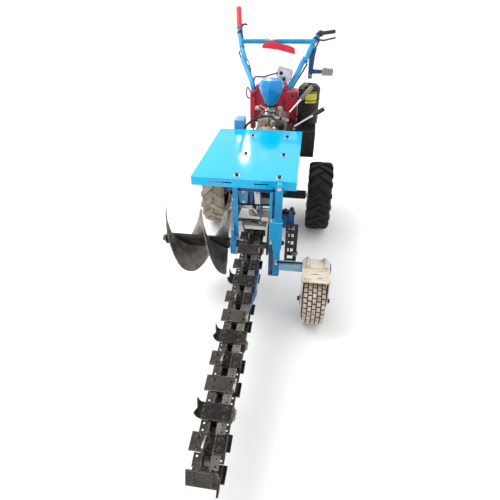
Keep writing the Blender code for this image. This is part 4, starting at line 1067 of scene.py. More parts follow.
def fork_clamps():
    """Two U-bolts with nuts that hold the fork to the arm, over a top strap."""
    low, high = spans("wheel_bracket")
    arm_low, arm_high = spans("cross_arm")
    clamps = Piece("fork_clamps", "leg", 0.0006)
    front, rear = arm_low.y - 0.012, arm_high.y + 0.012
    clamps.box(
        (low.x + 0.004, front - 0.01, high.z),
        (high.x - 0.004, rear + 0.002, high.z + 0.006), CREAM_PAINT)
    for x in (low.x + 0.026, high.x - 0.026):
        bow = [
            (x, front, arm_low.z - 0.016), (x, front, high.z + 0.004), (x, front + 0.006, high.z + 0.015),
            (x, (front + rear) / 2, high.z + 0.021), (x, rear - 0.006, high.z + 0.015),
            (x, rear, high.z + 0.004), (x, rear, arm_low.z - 0.016)]
        clamps.rod(smooth_path(bow, 4), 0.0046, BRIGHT_STEEL, 12)
        for y in (front, rear):
            clamps.hex_bolt((x, y, high.z + 0.006), Z, 0.0095, CREAM_PAINT)
            clamps.hex_bolt((x, y, arm_low.z - 0.004), -Z, 0.0085)
        clamps.bar(
            (x, front - 0.006, arm_low.z - 0.002), (x, rear + 0.006, arm_low.z - 0.002),
            0.016, 0.004, DARK_STEEL)
    clamps.done()


# ---------------------------------------------------------------- cross drive between the posts
def gearbox():
    """Open chain case of folded plates, with three bolted tabs hanging in front."""
    low, high = spans("drive_case")
    cross = centre("cross_shaft")
    case = Piece("gearbox_case", "chassis", 0.0012, None, ("drive_case",))
    wall = 0.003
    for start, end, look in (
            (low, (low.x + wall, high.y, high.z), SHADED_BLUE),
            ((high.x - wall, low.y, low.z), high, SHADED_BLUE),
            ((low.x, high.y - wall, low.z), high, SHADED_BLUE),
            ((low.x, low.y, high.z - wall), high, SHADED_BLUE),
            ((low.x, low.y, cross.z + 0.046), (high.x, low.y + wall, high.z), BLACK_PAINT),
            (low, (high.x, low.y + wall, cross.z - 0.046), SHEET_STEEL)):
        case.box(start, end, look)
    top, bottom = high.z - 0.004, cross.z + 0.05
    place = axes(X, Z, (0, low.y - 0.003, 0))
    for level, ends, thick, look in (
            (top, (-0.09, -0.034, -0.042, -0.08), 0.005, PALE_BLUE),
            (top - 0.004, (-0.028, -0.01, -0.012, -0.024), 0.004, SHADED_BLUE),
            (top, (-0.006, 0.026, 0.028, 0.0), 0.005, WHITE_PAINT)):
        case.slab(list(zip(ends, (level, level, bottom, bottom))), thick, place, look)
    for x, z in ((-0.062, top - 0.012), (0.012, top - 0.012), (-0.062, bottom + 0.01)):
        case.hex_bolt((x, low.y - 0.0055, z), -Y, 0.0055)
    case.done()


def chain_guard():
    """Curved sheet over the digging chain's root, hung from the case, with its fixing bolt."""
    guard = Piece("chain_guard", "chassis", 0.0006)
    radius = 0.128
    rows = []
    for i in range(15):
        angle = radians(84 + 44 * i / 14)
        row = []
        for j in range(9):
            x = -0.062 + 0.13 * j / 8
            sag = 0.003 * sin(pi * j / 8) + 0.0015 * noise.noise(Vector((x * 30, angle * 4, 1.0)))
            row.append(
                Vector((x, SHAFT.y - (radius + sag) * cos(angle), SHAFT.z + (radius + sag) * sin(angle))))
        rows.append(row)
    guard.sheet(rows, 0.003, TAN_SHEET)
    over = radius + 0.001
    spot = Vector((0.04, SHAFT.y - over * cos(radians(96)), SHAFT.z + over * sin(radians(96))))
    guard.hex_bolt(spot + Z * 0.002, (0, -0.3, 1), 0.011)
    guard.rod(
        [spot + Vector((-0.05, 0.012, 0.004)), spot + Vector((-0.018, -0.006, 0.006))],
        0.006, DARK_STEEL, 12)
    guard.done()


def side_gear():
    """Dark drive unit seen right of the case: a finned block with a round cover."""
    low, high = spans("drive_case")
    made = Piece("side_gear", "chassis", 0.0012)
    left, right = high.x + 0.004, 0.082
    made.box((left, low.y + 0.03, 0.545), (right, high.y - 0.01, high.z + 0.004), BLACK_PAINT)
    made.turned(
        [(0.02, 0.0), (0.02, 0.01), (0.013, 0.014), (0.01, 0.014)],
        facing(-Y, ((left + right) / 2, low.y + 0.031, 0.575)), DARK_STEEL, 28)
    for i in range(4):
        z = 0.552 + 0.014 * i
        made.box((left - 0.001, low.y + 0.024, z), (right + 0.001, low.y + 0.031, z + 0.004), BLACK_PAINT)
    made.done()


def cross_tube():
    """Bright coupling sleeve over the cross shaft's right end."""
    at = centre("cross_shaft")
    made = Piece("cross_shaft_turned", "cross_drive", 0.0008)
    start = spans("cross_shaft")[1].x - 0.004
    made.turned(
        [(0.0165, 0.0), (0.0165, 0.048), (0.0148, 0.05), (0.0148, 0.0)], facing(-X, (start, at.y, at.z)),
        BRIGHT_STEEL, 36, ring=True)
    made.done()


deck_bolts()
deck_stiffeners()
left_post_details()
channel_details()
sleeve_details()
rack_clamp()
adjuster()
leg_details()
fork()
fork_clamps()
gearbox()
chain_guard()
side_gear()
cross_tube()


# ---------------------------------------------------------------- engine
def bell_cap():
    """Faceted air-cleaner bell: a flat lid, a wide shoulder and a tapering skirt."""
    low, high = spans("air_cleaner_cap")
    at = (low + high) / 2
    half_x, half_y = (high.x - low.x) / 2, (high.y - low.y) / 2
    cap = Piece("air_cleaner_bell", "chassis", 0.0022, None, ("air_cleaner_cap",))
    height = high.z - low.z
    profile = [
        (0.44, 0.0), (0.5, 0.04), (0.7, 0.3), (0.93, 0.52), (1.0, 0.66), (0.985, 0.76), (0.86, 0.92),
        (0.8, 0.975), (0.3, 1.0)]
    sections = []
    for share, level in profile:
        section = []
        for i in range(10):
            angle = 2 * pi * (i + 0.3) / 10
            lean = 1.0 + 0.07 * sin(3.0 * angle + 1.0) * level
            section.append(
                Vector((at.x + half_x * share * min(lean, 1.0) * cos(angle),
                    at.y + half_y * share * min(lean, 1.0) * sin(angle), low.z + height * level)))
        sections.append(section)
    cap.loft(sections, CAP_BLUE)
    cap.done(20, 3)


def neck_fittings():
    """Worm-drive band round the neck, its screw, and a rubber collar under the bell."""
    low, high = spans("air_cleaner_neck")
    at = (low + high) / 2
    made = Piece("neck_band", "chassis", 0.0004)
    radius = (high.x - low.x) / 2
    for bottom, top, out, look in (
            (high.z - 0.018, high.z - 0.006, 0.0022, BLACK_RUBBER),
            (low.z + 0.03, low.z + 0.042, 0.0026, BRIGHT_STEEL)):
        made.turned(
            [(radius - 0.002, bottom), (radius + out, bottom), (radius + out, top),
             (radius - 0.002, top)], upright(at), look, 36, ring=True)
    screw = Vector((at.x - 0.01, low.y - 0.006, low.z + 0.036))
    made.box(screw - Vector((0.01, 0.004, 0.006)), screw + Vector((0.01, 0.006, 0.006)), BRIGHT_STEEL)
    made.hex_bolt(screw - X * 0.01, -X, 0.006)
    made.done()


def valve_cover():
    """Cast cover on the cylinder head, with the smaller casting beside it."""
    low, high = spans("cylinder_head")
    cover = Piece("valve_cover", "chassis", 0.004)
    cover.box(
        (low.x + 0.01, low.y - 0.022, low.z + 0.004),
        (low.x + 0.075, low.y - 0.006, high.z - 0.006), TAN_CAST)
    cover.box(
        (high.x - 0.062, low.y - 0.018, low.z + 0.01),
        (high.x - 0.01, low.y - 0.004, high.z - 0.016), CAST_METAL)
    cover.done()


def cylinder_details():
    """Cooling fins, cover bolts, carburettor and choke rod round the cylinder head."""
    low, high = spans("cylinder_head")
    made = Piece("cylinder_details", "chassis", 0.0006)
    for i in range(6):
        z = low.z + 0.01 + 0.014 * i
        made.slab(
            [(low.x - 0.006, low.y - 0.008), (high.x + 0.004, low.y - 0.008), (high.x + 0.004, high.y),
             (low.x - 0.006, high.y)], 0.004, Matrix.Translation((0, 0, z)), ALUMINIUM)
    for x in (low.x + 0.02, low.x + 0.065):
        for z in (low.z + 0.016, high.z - 0.018):
            made.hex_bolt((x, low.y - 0.022, z), -Y, 0.0065)
    bowl = Vector((0.01, low.y - 0.03, high.z - 0.01))
    made.turned(
        [(0.02, -0.045), (0.024, -0.036), (0.024, 0.0), (0.018, 0.006)],
        Matrix.Translation(bowl), ALUMINIUM, 28)
    made.rod([bowl + Vector((-0.04, 0, 0.016)), bowl + Vector((0.04, 0, 0.016))], 0.014, ALUMINIUM, 20)
    made.hex_bolt(bowl + Vector((0.04, 0, 0.016)), X, 0.012, DARK_STEEL)
    made.tube(
        [(-0.075, 0.275, 0.705), (-0.06, 0.262, 0.745), (-0.02, 0.258, 0.752), (0.03, 0.262, 0.735)],
        0.0035, DARK_STEEL, 10)
    made.done()


def linkage():
    """Thin bright rods, taps and springs in front of the red cowl."""
    made = Piece("engine_linkage", "chassis", 0.0004)
    made.tube(
        [(-0.087, 0.282, 0.786), (-0.06, 0.278, 0.772), (-0.02, 0.276, 0.752), (0.012, 0.276, 0.728),
         (0.018, 0.278, 0.702)], 0.0042, BRIGHT_STEEL, 12)
    for x, z in ((-0.104, 0.762), (0.05, 0.764)):
        made.turned(
            [(0.01, -0.016), (0.014, -0.01), (0.014, 0.01), (0.009, 0.016)],
            facing(X, (x, 0.3, z)), TAN_CAST, 20)
        made.bar((x - 0.02, 0.296, z - 0.008), (x + 0.026, 0.294, z - 0.012), 0.01, 0.008, BRIGHT_STEEL)
        made.rod([(x, 0.3, z - 0.012), (x * 0.8, 0.33, 0.7)], 0.005, DARK_STEEL, 12)
    coil = []
    for i in range(85):
        share = i / 84
        angle = 2 * pi * 9 * share
        coil.append((0.052 + 0.006 * cos(angle), 0.268 + 0.006 * sin(angle), 0.712 + 0.045 * share))
    made.rod(coil, 0.0013, BRIGHT_STEEL, 6)
    made.rod([(0.052, 0.268, 0.694), (0.052, 0.268, 0.764)], 0.0022, DARK_STEEL, 8)
    made.done()


def hose():
    """Black hose that arches from the gearbox side to the carburettor, with end clamps."""
    route = [
        (-0.159, 0.082, 0.672), (-0.152, 0.088, 0.706), (-0.11, 0.122, 0.734), (-0.058, 0.158, 0.746),
        (0.0, 0.166, 0.746), (0.03, 0.15, 0.73), (0.034, 0.11, 0.706), (0.024, 0.092, 0.684)]
    made = Piece("fuel_hose_bent", "chassis", 0.0, None, ("fuel_hose",))
    path = smooth_path(route, 8)
    made.rod(path, 0.0072, BLACK_RUBBER, 16)
    for near, far in ((2, 5), (-6, -3)):
        made.rod([path[near], path[far]], 0.009, BRIGHT_STEEL, 16)
    made.done()
    ends = Piece("hose_fittings", "chassis", 0.0006)
    for place in (route[0], route[-1]):
        ends.rod([Vector(place) - Z * 0.052, Vector(place) + Z * 0.004], 0.0085, BRIGHT_STEEL, 16)
        ends.hex_bolt(Vector(place) - Z * 0.022, Z, 0.012, DARK_STEEL)
    ends.done()


def gearbox_top():
    """Selector housing, ribs, filler and studs between the deck and the engine."""
    made = Piece("selector_housing", "chassis", 0.003)
    made.box((-0.1, 0.06, 0.541), (0.1, 0.25, 0.612), CAST_METAL)
    made.box((-0.08, 0.085, 0.61), (0.04, 0.215, 0.652), TAN_CAST)
    made.box((0.046, 0.1, 0.61), (0.096, 0.235, 0.668), CAST_METAL)
    made.turned(
        [(0.036, 0.65), (0.036, 0.672), (0.026, 0.682), (0.014, 0.686)],
        upright(Vector((-0.03, 0.15, 0))), TAN_CAST, 32)
    made.turned(
        [(0.022, 0.664), (0.022, 0.692), (0.016, 0.7)],
        upright(Vector((0.071, 0.165, 0))), DARK_STEEL, 24)
    made.done()
    studs = Piece("selector_bolts", "chassis", 0.0004)
    for x, y in ((-0.07, 0.095), (-0.07, 0.205), (0.03, 0.095), (0.03, 0.205)):
        studs.hex_bolt((x, y, 0.652), Z, 0.0075)
    for x in (-0.088, 0.0, 0.088):
        studs.hex_bolt((x, 0.07, 0.612), Z, 0.0075)
    studs.rod([(-0.03, 0.15, 0.684), (-0.03, 0.15, 0.7)], 0.006, BLACK_PLASTIC, 14)
    studs.tube(
        [(-0.092, 0.11, 0.64), (-0.12, 0.13, 0.7), (-0.128, 0.26, 0.716), (-0.11, 0.3, 0.69)],
        0.0046, BLACK_RUBBER, 10)
    studs.done()


def cowl_details():
    """Folded edges, louvres and screws on the red cowl and its side panels."""
    low, high = spans("engine_cowl")
    made = Piece("cowl_details", "chassis", 0.0008)
    front = low.y
    for x in (low.x + 0.006, high.x - 0.006):
        made.box(
            (x - 0.006, front - 0.004, low.z + 0.01),
            (x + 0.006, front + 0.001, high.z - 0.004), RED_PAINT)
    made.box((low.x, front - 0.004, high.z - 0.012), (high.x, front + 0.001, high.z), RED_PAINT)
    for i in range(5):
        z = low.z + 0.125 + 0.014 * i
        made.box((-0.105, front - 0.003, z), (-0.05, front + 0.001, z + 0.005), RED_PAINT)
    for x, z in ((-0.122, 0.835), (0.06, 0.835), (-0.122, 0.69), (0.06, 0.69)):
        made.hex_bolt((x, front - 0.004, z), -Y, 0.006, DARK_STEEL)
    for node in ("upright_left", "upright_right"):
        side_low, side_high = spans(node)
        for z in (side_low.z + 0.035, side_high.z - 0.03):
            made.hex_bolt(((side_low.x + side_high.x) / 2, side_low.y, z), -Y, 0.0075, DARK_STEEL)
    made.done()


def engine_cables():
    """Control cables on the left side and the black electric lead to the switch box."""
    made = Piece("engine_cables", "chassis", 0.0)
    made.rod(
        smooth_path([
            (-0.18, 0.52, 0.8), (-0.203, 0.506, 0.846), (-0.212, 0.5, 0.815), (-0.207, 0.5, 0.785),
            (-0.186, 0.505, 0.77), (-0.172, 0.52, 0.776)]), 0.0045, BLACK_RUBBER, 10)
    made.tube(
        [(-0.163, 0.556, 0.845), (-0.161, 0.562, 0.903), (-0.1, 0.568, 0.906), (-0.04, 0.576, 0.922),
         (0.01, 0.585, 0.934)], 0.005, BLACK_RUBBER, 12)
    made.tube(
        [(0.071, 0.6, 0.9), (0.066, 0.586, 0.86), (0.072, 0.56, 0.82), (0.066, 0.5, 0.77),
         (0.056, 0.47, 0.69)], 0.0045, BLACK_RUBBER, 10)
    made.done()


def switch_box_details():
    """White front plate, second knob and mounting screws on the switch box."""
    made = Piece("switch_box_details", "chassis", 0.0012)
    tilt = (Matrix.Translation(centre("control_box")) @ Matrix.Rotation(radians(14), 4, "Y"))
    half = 0.048
    made.box((-half, -half + 0.0025, -0.036), (half, -half + 0.006, 0.036), WHITE_PAINT, tilt)
    place = tilt @ Vector((0.004, -half + 0.001, -0.02))
    made.turned([(0.012, -0.004), (0.012, 0.01), (0.008, 0.014)], facing(-Y, place), BLACK_PLASTIC, 24)
    for x in (-0.04, 0.04):
        made.dome_bolt(tilt @ Vector((x, -half + 0.003, 0.028)), -Y, 0.0045, DARK_STEEL)
    made.done()


# ---------------------------------------------------------------- exhaust side
def muffler_details():
    """Seams, band, guard ribs, outlet and a blank yellow sticker on the muffler."""
    low, high = spans("muffler_can")
    at = (low + high) / 2
    radius = (high.x - low.x) / 2
    made = Piece("muffler_details", "chassis", 0.0006)
    for z in (low.z + 0.03, high.z - 0.045, high.z - 0.095):
        made.turned(
            [(radius - 0.003, z), (radius + 0.0022, z + 0.001), (radius + 0.0022, z + 0.008),
             (radius - 0.003, z + 0.009)], upright(at), BLACK_PAINT, 48, ring=True)
    rows = []
    for i in range(9):
        angle = radians(-108 + 62 * i / 8)
        rows.append(
            [Vector((at.x + (radius + 0.0012) * cos(angle), at.y + (radius + 0.0012) * sin(angle), z))
             for z in (0.784, 0.804, 0.824, 0.844, 0.856)])
    made.sheet(rows, 0.0014, LABEL_YELLOW)
    made.rod(
        [(at.x - 0.02, low.y + 0.05, high.z - 0.006), (at.x - 0.034, low.y + 0.02, high.z + 0.012),
         (at.x - 0.04, low.y - 0.012, high.z + 0.012)], 0.014, CAST_METAL, 20)
    made.hex_bolt((at.x, at.y, high.z - 0.001), Z, 0.009, DARK_STEEL)
    for i in range(5):
        z = low.z + 0.042 + 0.018 * i
        made.box((at.x - 0.03, low.y - 0.004, z), (at.x + 0.03, low.y + 0.004, z + 0.006), BLACK_PAINT)
    made.done()


def guard_details():
    """Pressed ribs and bolts on the black side guard."""
    low, high = spans("side_guard")
    made = Piece("guard_details", "chassis", 0.0012)
    for share in (0.25, 0.55, 0.85):
        x = low.x + (high.x - low.x) * share
        made.box(
            (x - 0.006, low.y - 0.003, low.z + 0.015),
            (x + 0.006, low.y + 0.001, high.z - 0.02), BLACK_PAINT)
    for z in (low.z + 0.03, high.z - 0.03):
        made.hex_bolt((low.x + 0.022, low.y - 0.001, z), -Y, 0.0085, DARK_STEEL)
    made.done()


bell_cap()
neck_fittings()
valve_cover()
cylinder_details()
linkage()
hose()
gearbox_top()
cowl_details()
engine_cables()
switch_box_details()
muffler_details()
guard_details()


# ---------------------------------------------------------------- handles
HINGE_Y, HINGE_Z = 0.79, 0.985
HINGE_X = {"left": -0.272, "right": 0.186}
LOWER_TUBE = 0.0185
UPPER_TUBE = LOWER_TUBE * 0.92
CROSSBAR = 0.0165
KNUCKLE = 0.0235
KNUCKLE_HALF = 0.0088                # half of one hinge disc's thickness
KNUCKLE_APART = 0.0095               # each disc's middle from the hinge's middle
TUBE_START = 0.014                   # a tube starts this far from the hinge's axis


def knuckle(piece, side, way):
    """Disc on the folding hinge; the two handle halves carry one each, side by side."""
    x = HINGE_X[side] + way * KNUCKLE_APART
    disc = facing(X, (x, HINGE_Y, HINGE_Z))
    piece.turned(
        [(KNUCKLE - 0.001, -KNUCKLE_HALF), (KNUCKLE, -0.007), (KNUCKLE, 0.007),
         (KNUCKLE - 0.001, KNUCKLE_HALF)], disc, SKY_BLUE, 36)
    piece.hex_bolt((x + way * KNUCKLE_HALF, HINGE_Y, HINGE_Z), (way, 0, 0), 0.0115)


def lower_tubes():
    routes = {
        "left": [(-0.166, 0.532, 0.806), (-0.168, 0.536, 0.84), (-0.18, 0.56, 0.87), (-0.205, 0.62, 0.898)],
        "right": [(0.084, 0.545, 0.812), (0.087, 0.552, 0.838), (0.104, 0.58, 0.862), (0.132, 0.65, 0.902)]}
    for side, route in routes.items():
        hinge = Vector((HINGE_X[side] - KNUCKLE_APART, HINGE_Y, HINGE_Z))
        end = hinge + (Vector(route[-1]) - hinge).normalized() * TUBE_START
        made = Piece("lower_tube_" + side, "chassis", 0.0, None, ("lower_handle_" + side,))
        made.tube(route + [end], LOWER_TUBE, SKY_BLUE, 28)
        knuckle(made, side, -1)
        made.turned(
            [(LOWER_TUBE + 0.003, 0.0), (LOWER_TUBE + 0.003, 0.01), (LOWER_TUBE - 0.001, 0.014)],
            facing(Z, route[0]), BLACK_PAINT, 28)
        made.done()


def upper_tubes():
    routes = {
        "left": [(-0.2925, 0.846, 1.03), (-0.317, 0.92, 1.086), (-0.338, 1.0, 1.15), (-0.357, 1.09, 1.29)],
        "right": [(0.2085, 0.846, 1.026), (0.24, 0.93, 1.084), (0.27, 0.985, 1.127), (0.286, 0.997, 1.137)]}
    for side, route in routes.items():
        hinge = Vector((HINGE_X[side] + KNUCKLE_APART, HINGE_Y, HINGE_Z))
        start = hinge + (Vector(route[0]) - hinge).normalized() * TUBE_START
        made = Piece("upper_tube_" + side, "handlebar", 0.0, None, ("handlebar_" + side,))
        made.tube([start] + route, UPPER_TUBE, SKY_BLUE, 28)
        knuckle(made, side, 1)
        made.done()


def crossbar():
    left, right = Vector((-0.3155, 0.92, 1.086)), Vector((0.2385, 0.93, 1.09))
    made = Piece("crossbar_tube", "handlebar", 0.0, None, ("handle_crossbar",))
    made.rod([left, right], CROSSBAR, SKY_BLUE, 28)
    for end, other in ((left, right), (right, left)):
        way = (other - end).normalized()
        made.turned(
            [(CROSSBAR, 0.014), (CROSSBAR + 0.003, 0.017), (CROSSBAR + 0.003, 0.022), (CROSSBAR, 0.026)],
            facing(way, end), SKY_BLUE, 28)
    made.done()


def clutch():
    """Red pressed squeeze lever with a ridge, and the clip behind it on the crossbar."""
    outline = [
        (-0.15, 1.06), (-0.13, 1.084), (-0.08, 1.092), (-0.03, 1.083), (0.06, 1.066), (0.1, 1.05),
        (0.108, 1.008), (0.06, 1.018), (-0.02, 1.036), (-0.09, 1.044), (-0.14, 1.046)]
    made = Piece("clutch_pressing", "clutch", 0.0035, None, ("clutch_lever",))
    made.slab(outline, 0.02, Matrix.Translation((0, 0.886, 0)) @ axes(X, Z), RED_RUBBER)
    made.done(40, 3)
    ridge = Piece("clutch_ridge", "clutch", 0.0006)
    ridge.tube(
        [(-0.125, 0.8755, 1.066), (-0.06, 0.8755, 1.072), (0.03, 0.8755, 1.054), (0.092, 0.8755, 1.03)],
        0.0035, RED_RUBBER, 10)
    ridge.done()
    clip = Piece("clutch_clip", "handlebar", 0.0006)
    for x in (-0.122, -0.066):
        clip.rod(
            smooth_path([(x, 0.902, 1.094), (x, 0.902, 1.106), (x, 0.925, 1.112), (x, 0.948, 1.092),
                (x, 0.93, 1.066)], 4), 0.0035, BRIGHT_STEEL, 10)
    clip.bar((-0.128, 0.903, 1.0985), (-0.06, 0.903, 1.0985), 0.008, 0.004, BRIGHT_STEEL)
    clip.rod([(-0.095, 0.903, 1.0985), (-0.02, 0.904, 1.107)], 0.0042, BRIGHT_STEEL, 10)
    clip.done()


def ribbed_grip(made, start, end, radius, look, rings=16):
    """Soft sleeve with shallow rings, a flange at its root and a rounded end."""
    way = Vector(end) - Vector(start)
    turn = facing(way, start)
    length = way.length
    profile = [(radius * 1.16, 0.0), (radius * 1.16, 0.005), (radius, 0.008)]
    for i in range(rings):
        level = 0.01 + (length - 0.022) * i / rings
        step = (length - 0.022) / rings
        profile += [
            (radius, level), (radius * 0.93, level + step * 0.35), (radius * 0.93, level + step * 0.6)]
    profile += [(radius, length - 0.01), (radius * 0.92, length - 0.003), (radius * 0.55, length)]
    made.turned(profile, turn, look, 28)


def grips():
    left = Piece("grip_left_ribbed", "handlebar", 0.0, None, ("grip_left",))
    ribbed_grip(left, (-0.3405, 1.012, 1.164), (-0.3588, 1.0955, 1.2975), 0.0205, RED_RUBBER)
    left.done(30)
    right = Piece("grip_right_slim", "handlebar", 0.0, None, ("grip_right",))
    ribbed_grip(right, (0.3, 0.9985, 1.1385), (0.3975, 1.0165, 1.15), 0.0135, BLACK_RUBBER, 12)
    right.rod(
        smooth_path([(0.262, 0.978, 1.118), (0.28, 0.994, 1.134), (0.304, 0.999, 1.139)]),
        [0.0205] * 6 + [0.023] * 4 + [0.0185] * 3, BLACK_RUBBER, 24)
    right.done(30)


def lever_mounts():
    """Clamps that hold the hand levers on the tubes, with their screws and pivot blocks."""
    made = Piece("lever_mounts", "handlebar", 0.0007)
    for place, way in (
            ((-0.3335, 0.983, 1.136), (-0.021, 0.08, 0.064)), ((0.252, 0.953, 1.102), (3, 5.5, 4.3))):
        band = facing(way, place)
        made.turned(
            [(0.0176, -0.01), (0.0215, -0.009), (0.0215, 0.009), (0.0176, 0.01)], band,
            BLACK_PLASTIC, 28, ring=True)
        made.hex_bolt(band @ Vector((0.0, -0.0215, 0.0)), band.to_3x3() @ Vector((0, -1, 0)), 0.006)
    made.bar((0.268, 0.972, 1.103), (0.292, 0.985, 1.092), 0.012, 0.01, BLACK_PLASTIC)
    made.bar((-0.334, 1.008, 1.168), (-0.3165, 1.026, 1.186), 0.012, 0.012, BLACK_PLASTIC)
    made.done()


def cables(name, body, routes):
    """Cables of one body; each row holds a radius, a look and the route."""
    made = Piece(name, body, 0.0)
    for radius, look, route in routes:
        made.tube(route, radius, look, 10)
    return made


def handle_cables():
    """Control cables tied along both handle tubes; each ends beside the folding hinge."""
    upper = cables("cables_upper", "handlebar", (
        (0.0048, BLACK_RUBBER, [
            (-0.322, 1.002, 1.16), (-0.312, 0.962, 1.13), (-0.3, 0.925, 1.09), (-0.3, 0.88, 1.045),
            (-0.318, 0.852, 1.02), (-0.308, 0.826, 1.0), (-0.288, 0.802, 0.972)]),
        (0.0062, BLACK_RUBBER, [
            (0.284, 0.978, 1.1), (0.266, 0.94, 1.066), (0.24, 0.886, 1.028), (0.219, 0.838, 0.992),
            (0.214, 0.806, 0.975)]),
        (0.0042, BLACK_RUBBER, [
            (0.276, 0.962, 1.104), (0.256, 0.932, 1.086), (0.232, 0.88, 1.044), (0.216, 0.836, 1.006)])))
    for place, way in (((-0.299, 0.87, 1.048), (-0.4, 1, 0.8)), ((0.232, 0.906, 1.064), (0.5, 1, 0.7))):
        upper.turned(
            [(0.0172, -0.004), (0.0196, -0.003), (0.0196, 0.003), (0.0172, 0.004)], facing(way, place),
            BLACK_PLASTIC, 24, ring=True)
    upper.done()
    cables("cables_lower", "chassis", (
        (0.0046, BLACK_RUBBER, [
            (-0.284, 0.786, 0.956), (-0.25, 0.74, 0.95), (-0.216, 0.69, 0.95), (-0.2, 0.64, 0.915),
            (-0.196, 0.59, 0.87), (-0.158, 0.556, 0.842), (-0.14, 0.56, 0.812)]),
        (0.004, CAST_METAL, [
            (-0.262, 0.77, 0.985), (-0.232, 0.73, 0.978), (-0.212, 0.68, 0.94), (-0.204, 0.62, 0.9),
            (-0.176, 0.56, 0.862)]),
        (0.0058, BLACK_RUBBER, [
            (0.204, 0.792, 0.958), (0.176, 0.73, 0.918), (0.146, 0.655, 0.88), (0.12, 0.6, 0.842),
            (0.112, 0.56, 0.826)]))).done()


def foot_pedal():
    """Tapered arm under the right tube with a step and its notched pad."""
    made = Piece("pedal_arm", "handlebar", 0.0014, None, ("side_bar",))
    outline = [
        (0.217, 0.836), (0.247, 0.836), (0.25, 0.872), (0.3195, 0.874), (0.3195, 0.9), (0.252, 0.904),
        (0.258, 0.99), (0.268, 1.052), (0.236, 1.056), (0.222, 1.01), (0.215, 0.94)]
    made.slab(outline, 0.014, Matrix.Translation((0, 0.9, 0)) @ axes(X, Z), SHADED_BLUE)
    made.hex_bolt((0.232, 0.893, 0.858), -Y, 0.0075)
    made.done()
    pad = Piece("pedal_pad", "handlebar", 0.0014, None, ("side_pedal",))
    low, high = spans("side_pedal")
    pad.box(
        (low.x, low.y + 0.006, low.z + 0.004), (high.x - 0.006, high.y - 0.006, high.z - 0.004),
        GREY_PLASTIC)
    for i in range(5):
        x = low.x + 0.006 + (high.x - low.x - 0.022) * i / 4
        pad.box((x, low.y + 0.001, low.z), (x + 0.009, low.y + 0.008, high.z), GREY_PLASTIC)
        pad.box(
            (x + 0.0095, low.y + 0.004, low.z + 0.001),
            (x + 0.0115, low.y + 0.0065, high.z - 0.001), BLACK_RUBBER)
    pad.box(
        (high.x - 0.0065, low.y + 0.01, low.z + 0.01),
        (high.x, high.y - 0.01, high.z - 0.01), BLACK_RUBBER)
    pad.box(
        (low.x + 0.02, low.y + 0.01, high.z - 0.005),
        (low.x + 0.034, high.y - 0.01, high.z), BLACK_RUBBER)
    pad.done()


lower_tubes()
upper_tubes()
crossbar()
clutch()
grips()
lever_mounts()
handle_cables()
foot_pedal()


# ---------------------------------------------------------------- CAD nodes shown as they are
CARRIED = (
    (BRIGHT_STEEL, 0.001, "axle_shaft"), (BLACK_PAINT, 0.0, "axle_housing side_guard"),
    (BLACK_PAINT, 0.0006, "rim_left rim_right"), (CAST_METAL, 0.0, "transaxle_case engine_block"),
    # The frame rails, front beam, saddle, right channel and boom bar take the shaded blue: painted shade.
    (SHADED_BLUE, 0.0015, "frame_rail_left frame_rail_right frame_front_beam"),
    (SHADED_BLUE, 0.001, "frame_saddle right_channel boom_bar"), (SKY_BLUE, 0.0008, "left_post"),
    (SKY_BLUE, 0.0015, "leg_sleeve leg_tube"), (CHALK_BLUE, 0.0015, "cross_arm"),
    (BRIGHT_STEEL, 0.0005, "depth_axle pto_shaft cross_shaft air_cleaner_neck"),
    (CREAM_PAINT, 0.0006, "depth_rim"), (WORN_STEEL, 0.0005, "drive_shaft tip_sprocket"),
    (DARK_STEEL, 0.0, "transfer_chain"), (ALUMINIUM, 0.0, "cylinder_head"),
    (RED_PAINT, 0.0, "engine_cowl upright_left upright_right"), (BLACK_PAINT, 0.001, "muffler_can"),
    (GREY_PLASTIC, 0.0, "control_box"), (BLACK_PLASTIC, 0.001, "switch_knob"),
    (PALE_BLUE, 0.005, "rear_cover"), (BRIGHT_STEEL, 0.0, "gear_lever range_lever"),
    (GREY_RUBBER, 0.001, "gear_lever_grip"), (BLACK_RUBBER, 0.001, "range_lever_grip"),
    (BLACK_PLASTIC, 0.0, "brake_lever throttle_lever"), (DECK_BLUE, 0.001, "deck_cover"),)


def carried():
    """Give each CAD node that is still shown its finish and rounded edges."""
    for look, width, nodes in CARRIED:
        for node in nodes.split():
            shown = NODES[node]
            shown.data.materials.clear()
            shown.data.materials.append(look)
            if width:
                round_edges(shown, width)


# ---------------------------------------------------------------- floor, light and camera
def floor():
    made = surface("studio_floor", (0.97, 0.97, 0.97), (0.96, 0.96, 0.96), (0.7, 0.8), bump=0.02)
    mesh = bpy.data.meshes.new("floor")
    size, middle_y = 40.0, 12.0
    corners = [
        (-size, middle_y - size, -0.0005), (size, middle_y - size, -0.0005),
        (size, middle_y + size, -0.0005), (-size, middle_y + size, -0.0005)]
    mesh.from_pydata(corners, [], [(0, 1, 2, 3)])
    mesh.materials.append(made)
    shown = bpy.data.objects.new("floor", mesh)
    bpy.context.scene.collection.objects.link(shown)


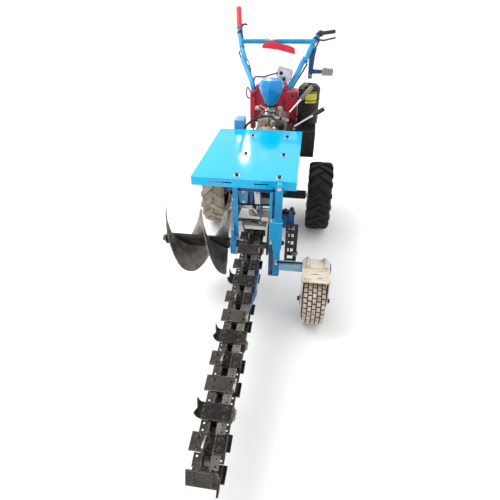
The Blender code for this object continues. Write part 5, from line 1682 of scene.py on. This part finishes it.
def lamp(name, place, target, size, power, colour=(1, 1, 1)):
    data = bpy.data.lights.new(name, "AREA")
    data.shape = "RECTANGLE"
    data.size, data.size_y = size
    data.energy = power
    data.color = colour
    made = bpy.data.objects.new(name, data)
    made.location = Vector(place) + ORIGIN
    made.rotation_euler = (Vector(target) - Vector(place)).to_track_quat("-Z", "Y").to_euler()
    bpy.context.scene.collection.objects.link(made)


def lights():
    world = bpy.data.worlds.new("studio")
    world.use_nodes = True
    background = world.node_tree.nodes["Background"]
    background.inputs["Color"].default_value = (1.0, 1.0, 1.0, 1.0)
    background.inputs["Strength"].default_value = 1.0
    bpy.context.scene.world = world
    lamp("key", (-3.4, 0.6, 4.6), (0, -0.6, 0.4), (4.2, 4.2), 200)
    lamp("streak", (-0.64, 3.0, 1.93), (-0.08, -0.25, 0.7), (0.13, 0.36), 4.5)
    lamp("thin_streak", (-0.335, 3.0, 1.83), (-0.01, -0.15, 0.7), (0.05, 0.16), 1)
    scene = bpy.context.scene
    scene.view_settings.view_transform = "Standard"
    scene.view_settings.look = "None"
    scene.view_settings.exposure = 0.15


CAMERA_PLACE = Vector((0.23, -2.36, 1.5))
CAMERA_TURN = (radians(8.406), radians(35.891), radians(-0.294))      # yaw, downward pitch and roll
CAMERA_LENS = 27.36


def camera():
    """Standing in front of the boom's tip at eye height, looking down along the machine."""
    yaw, pitch, roll = CAMERA_TURN
    ahead = Vector((-sin(yaw) * cos(pitch), cos(yaw) * cos(pitch), -sin(pitch)))
    level = Vector((cos(yaw), sin(yaw), 0))
    up = level.cross(ahead)
    right = level * cos(roll) + up * sin(roll)
    top = up * cos(roll) - level * sin(roll)
    data = bpy.data.cameras.new("camera")
    data.sensor_width = 36.0
    data.lens = CAMERA_LENS
    data.clip_start = 0.05
    data.clip_end = 200.0
    made = bpy.data.objects.new("camera", data)
    turn = Matrix((right, top, -ahead)).transposed().to_4x4()
    made.matrix_world = Matrix.Translation(ORIGIN + CAMERA_PLACE) @ turn
    bpy.context.scene.collection.objects.link(made)
    bpy.context.scene.camera = made


carried()
floor()
lights()
camera()
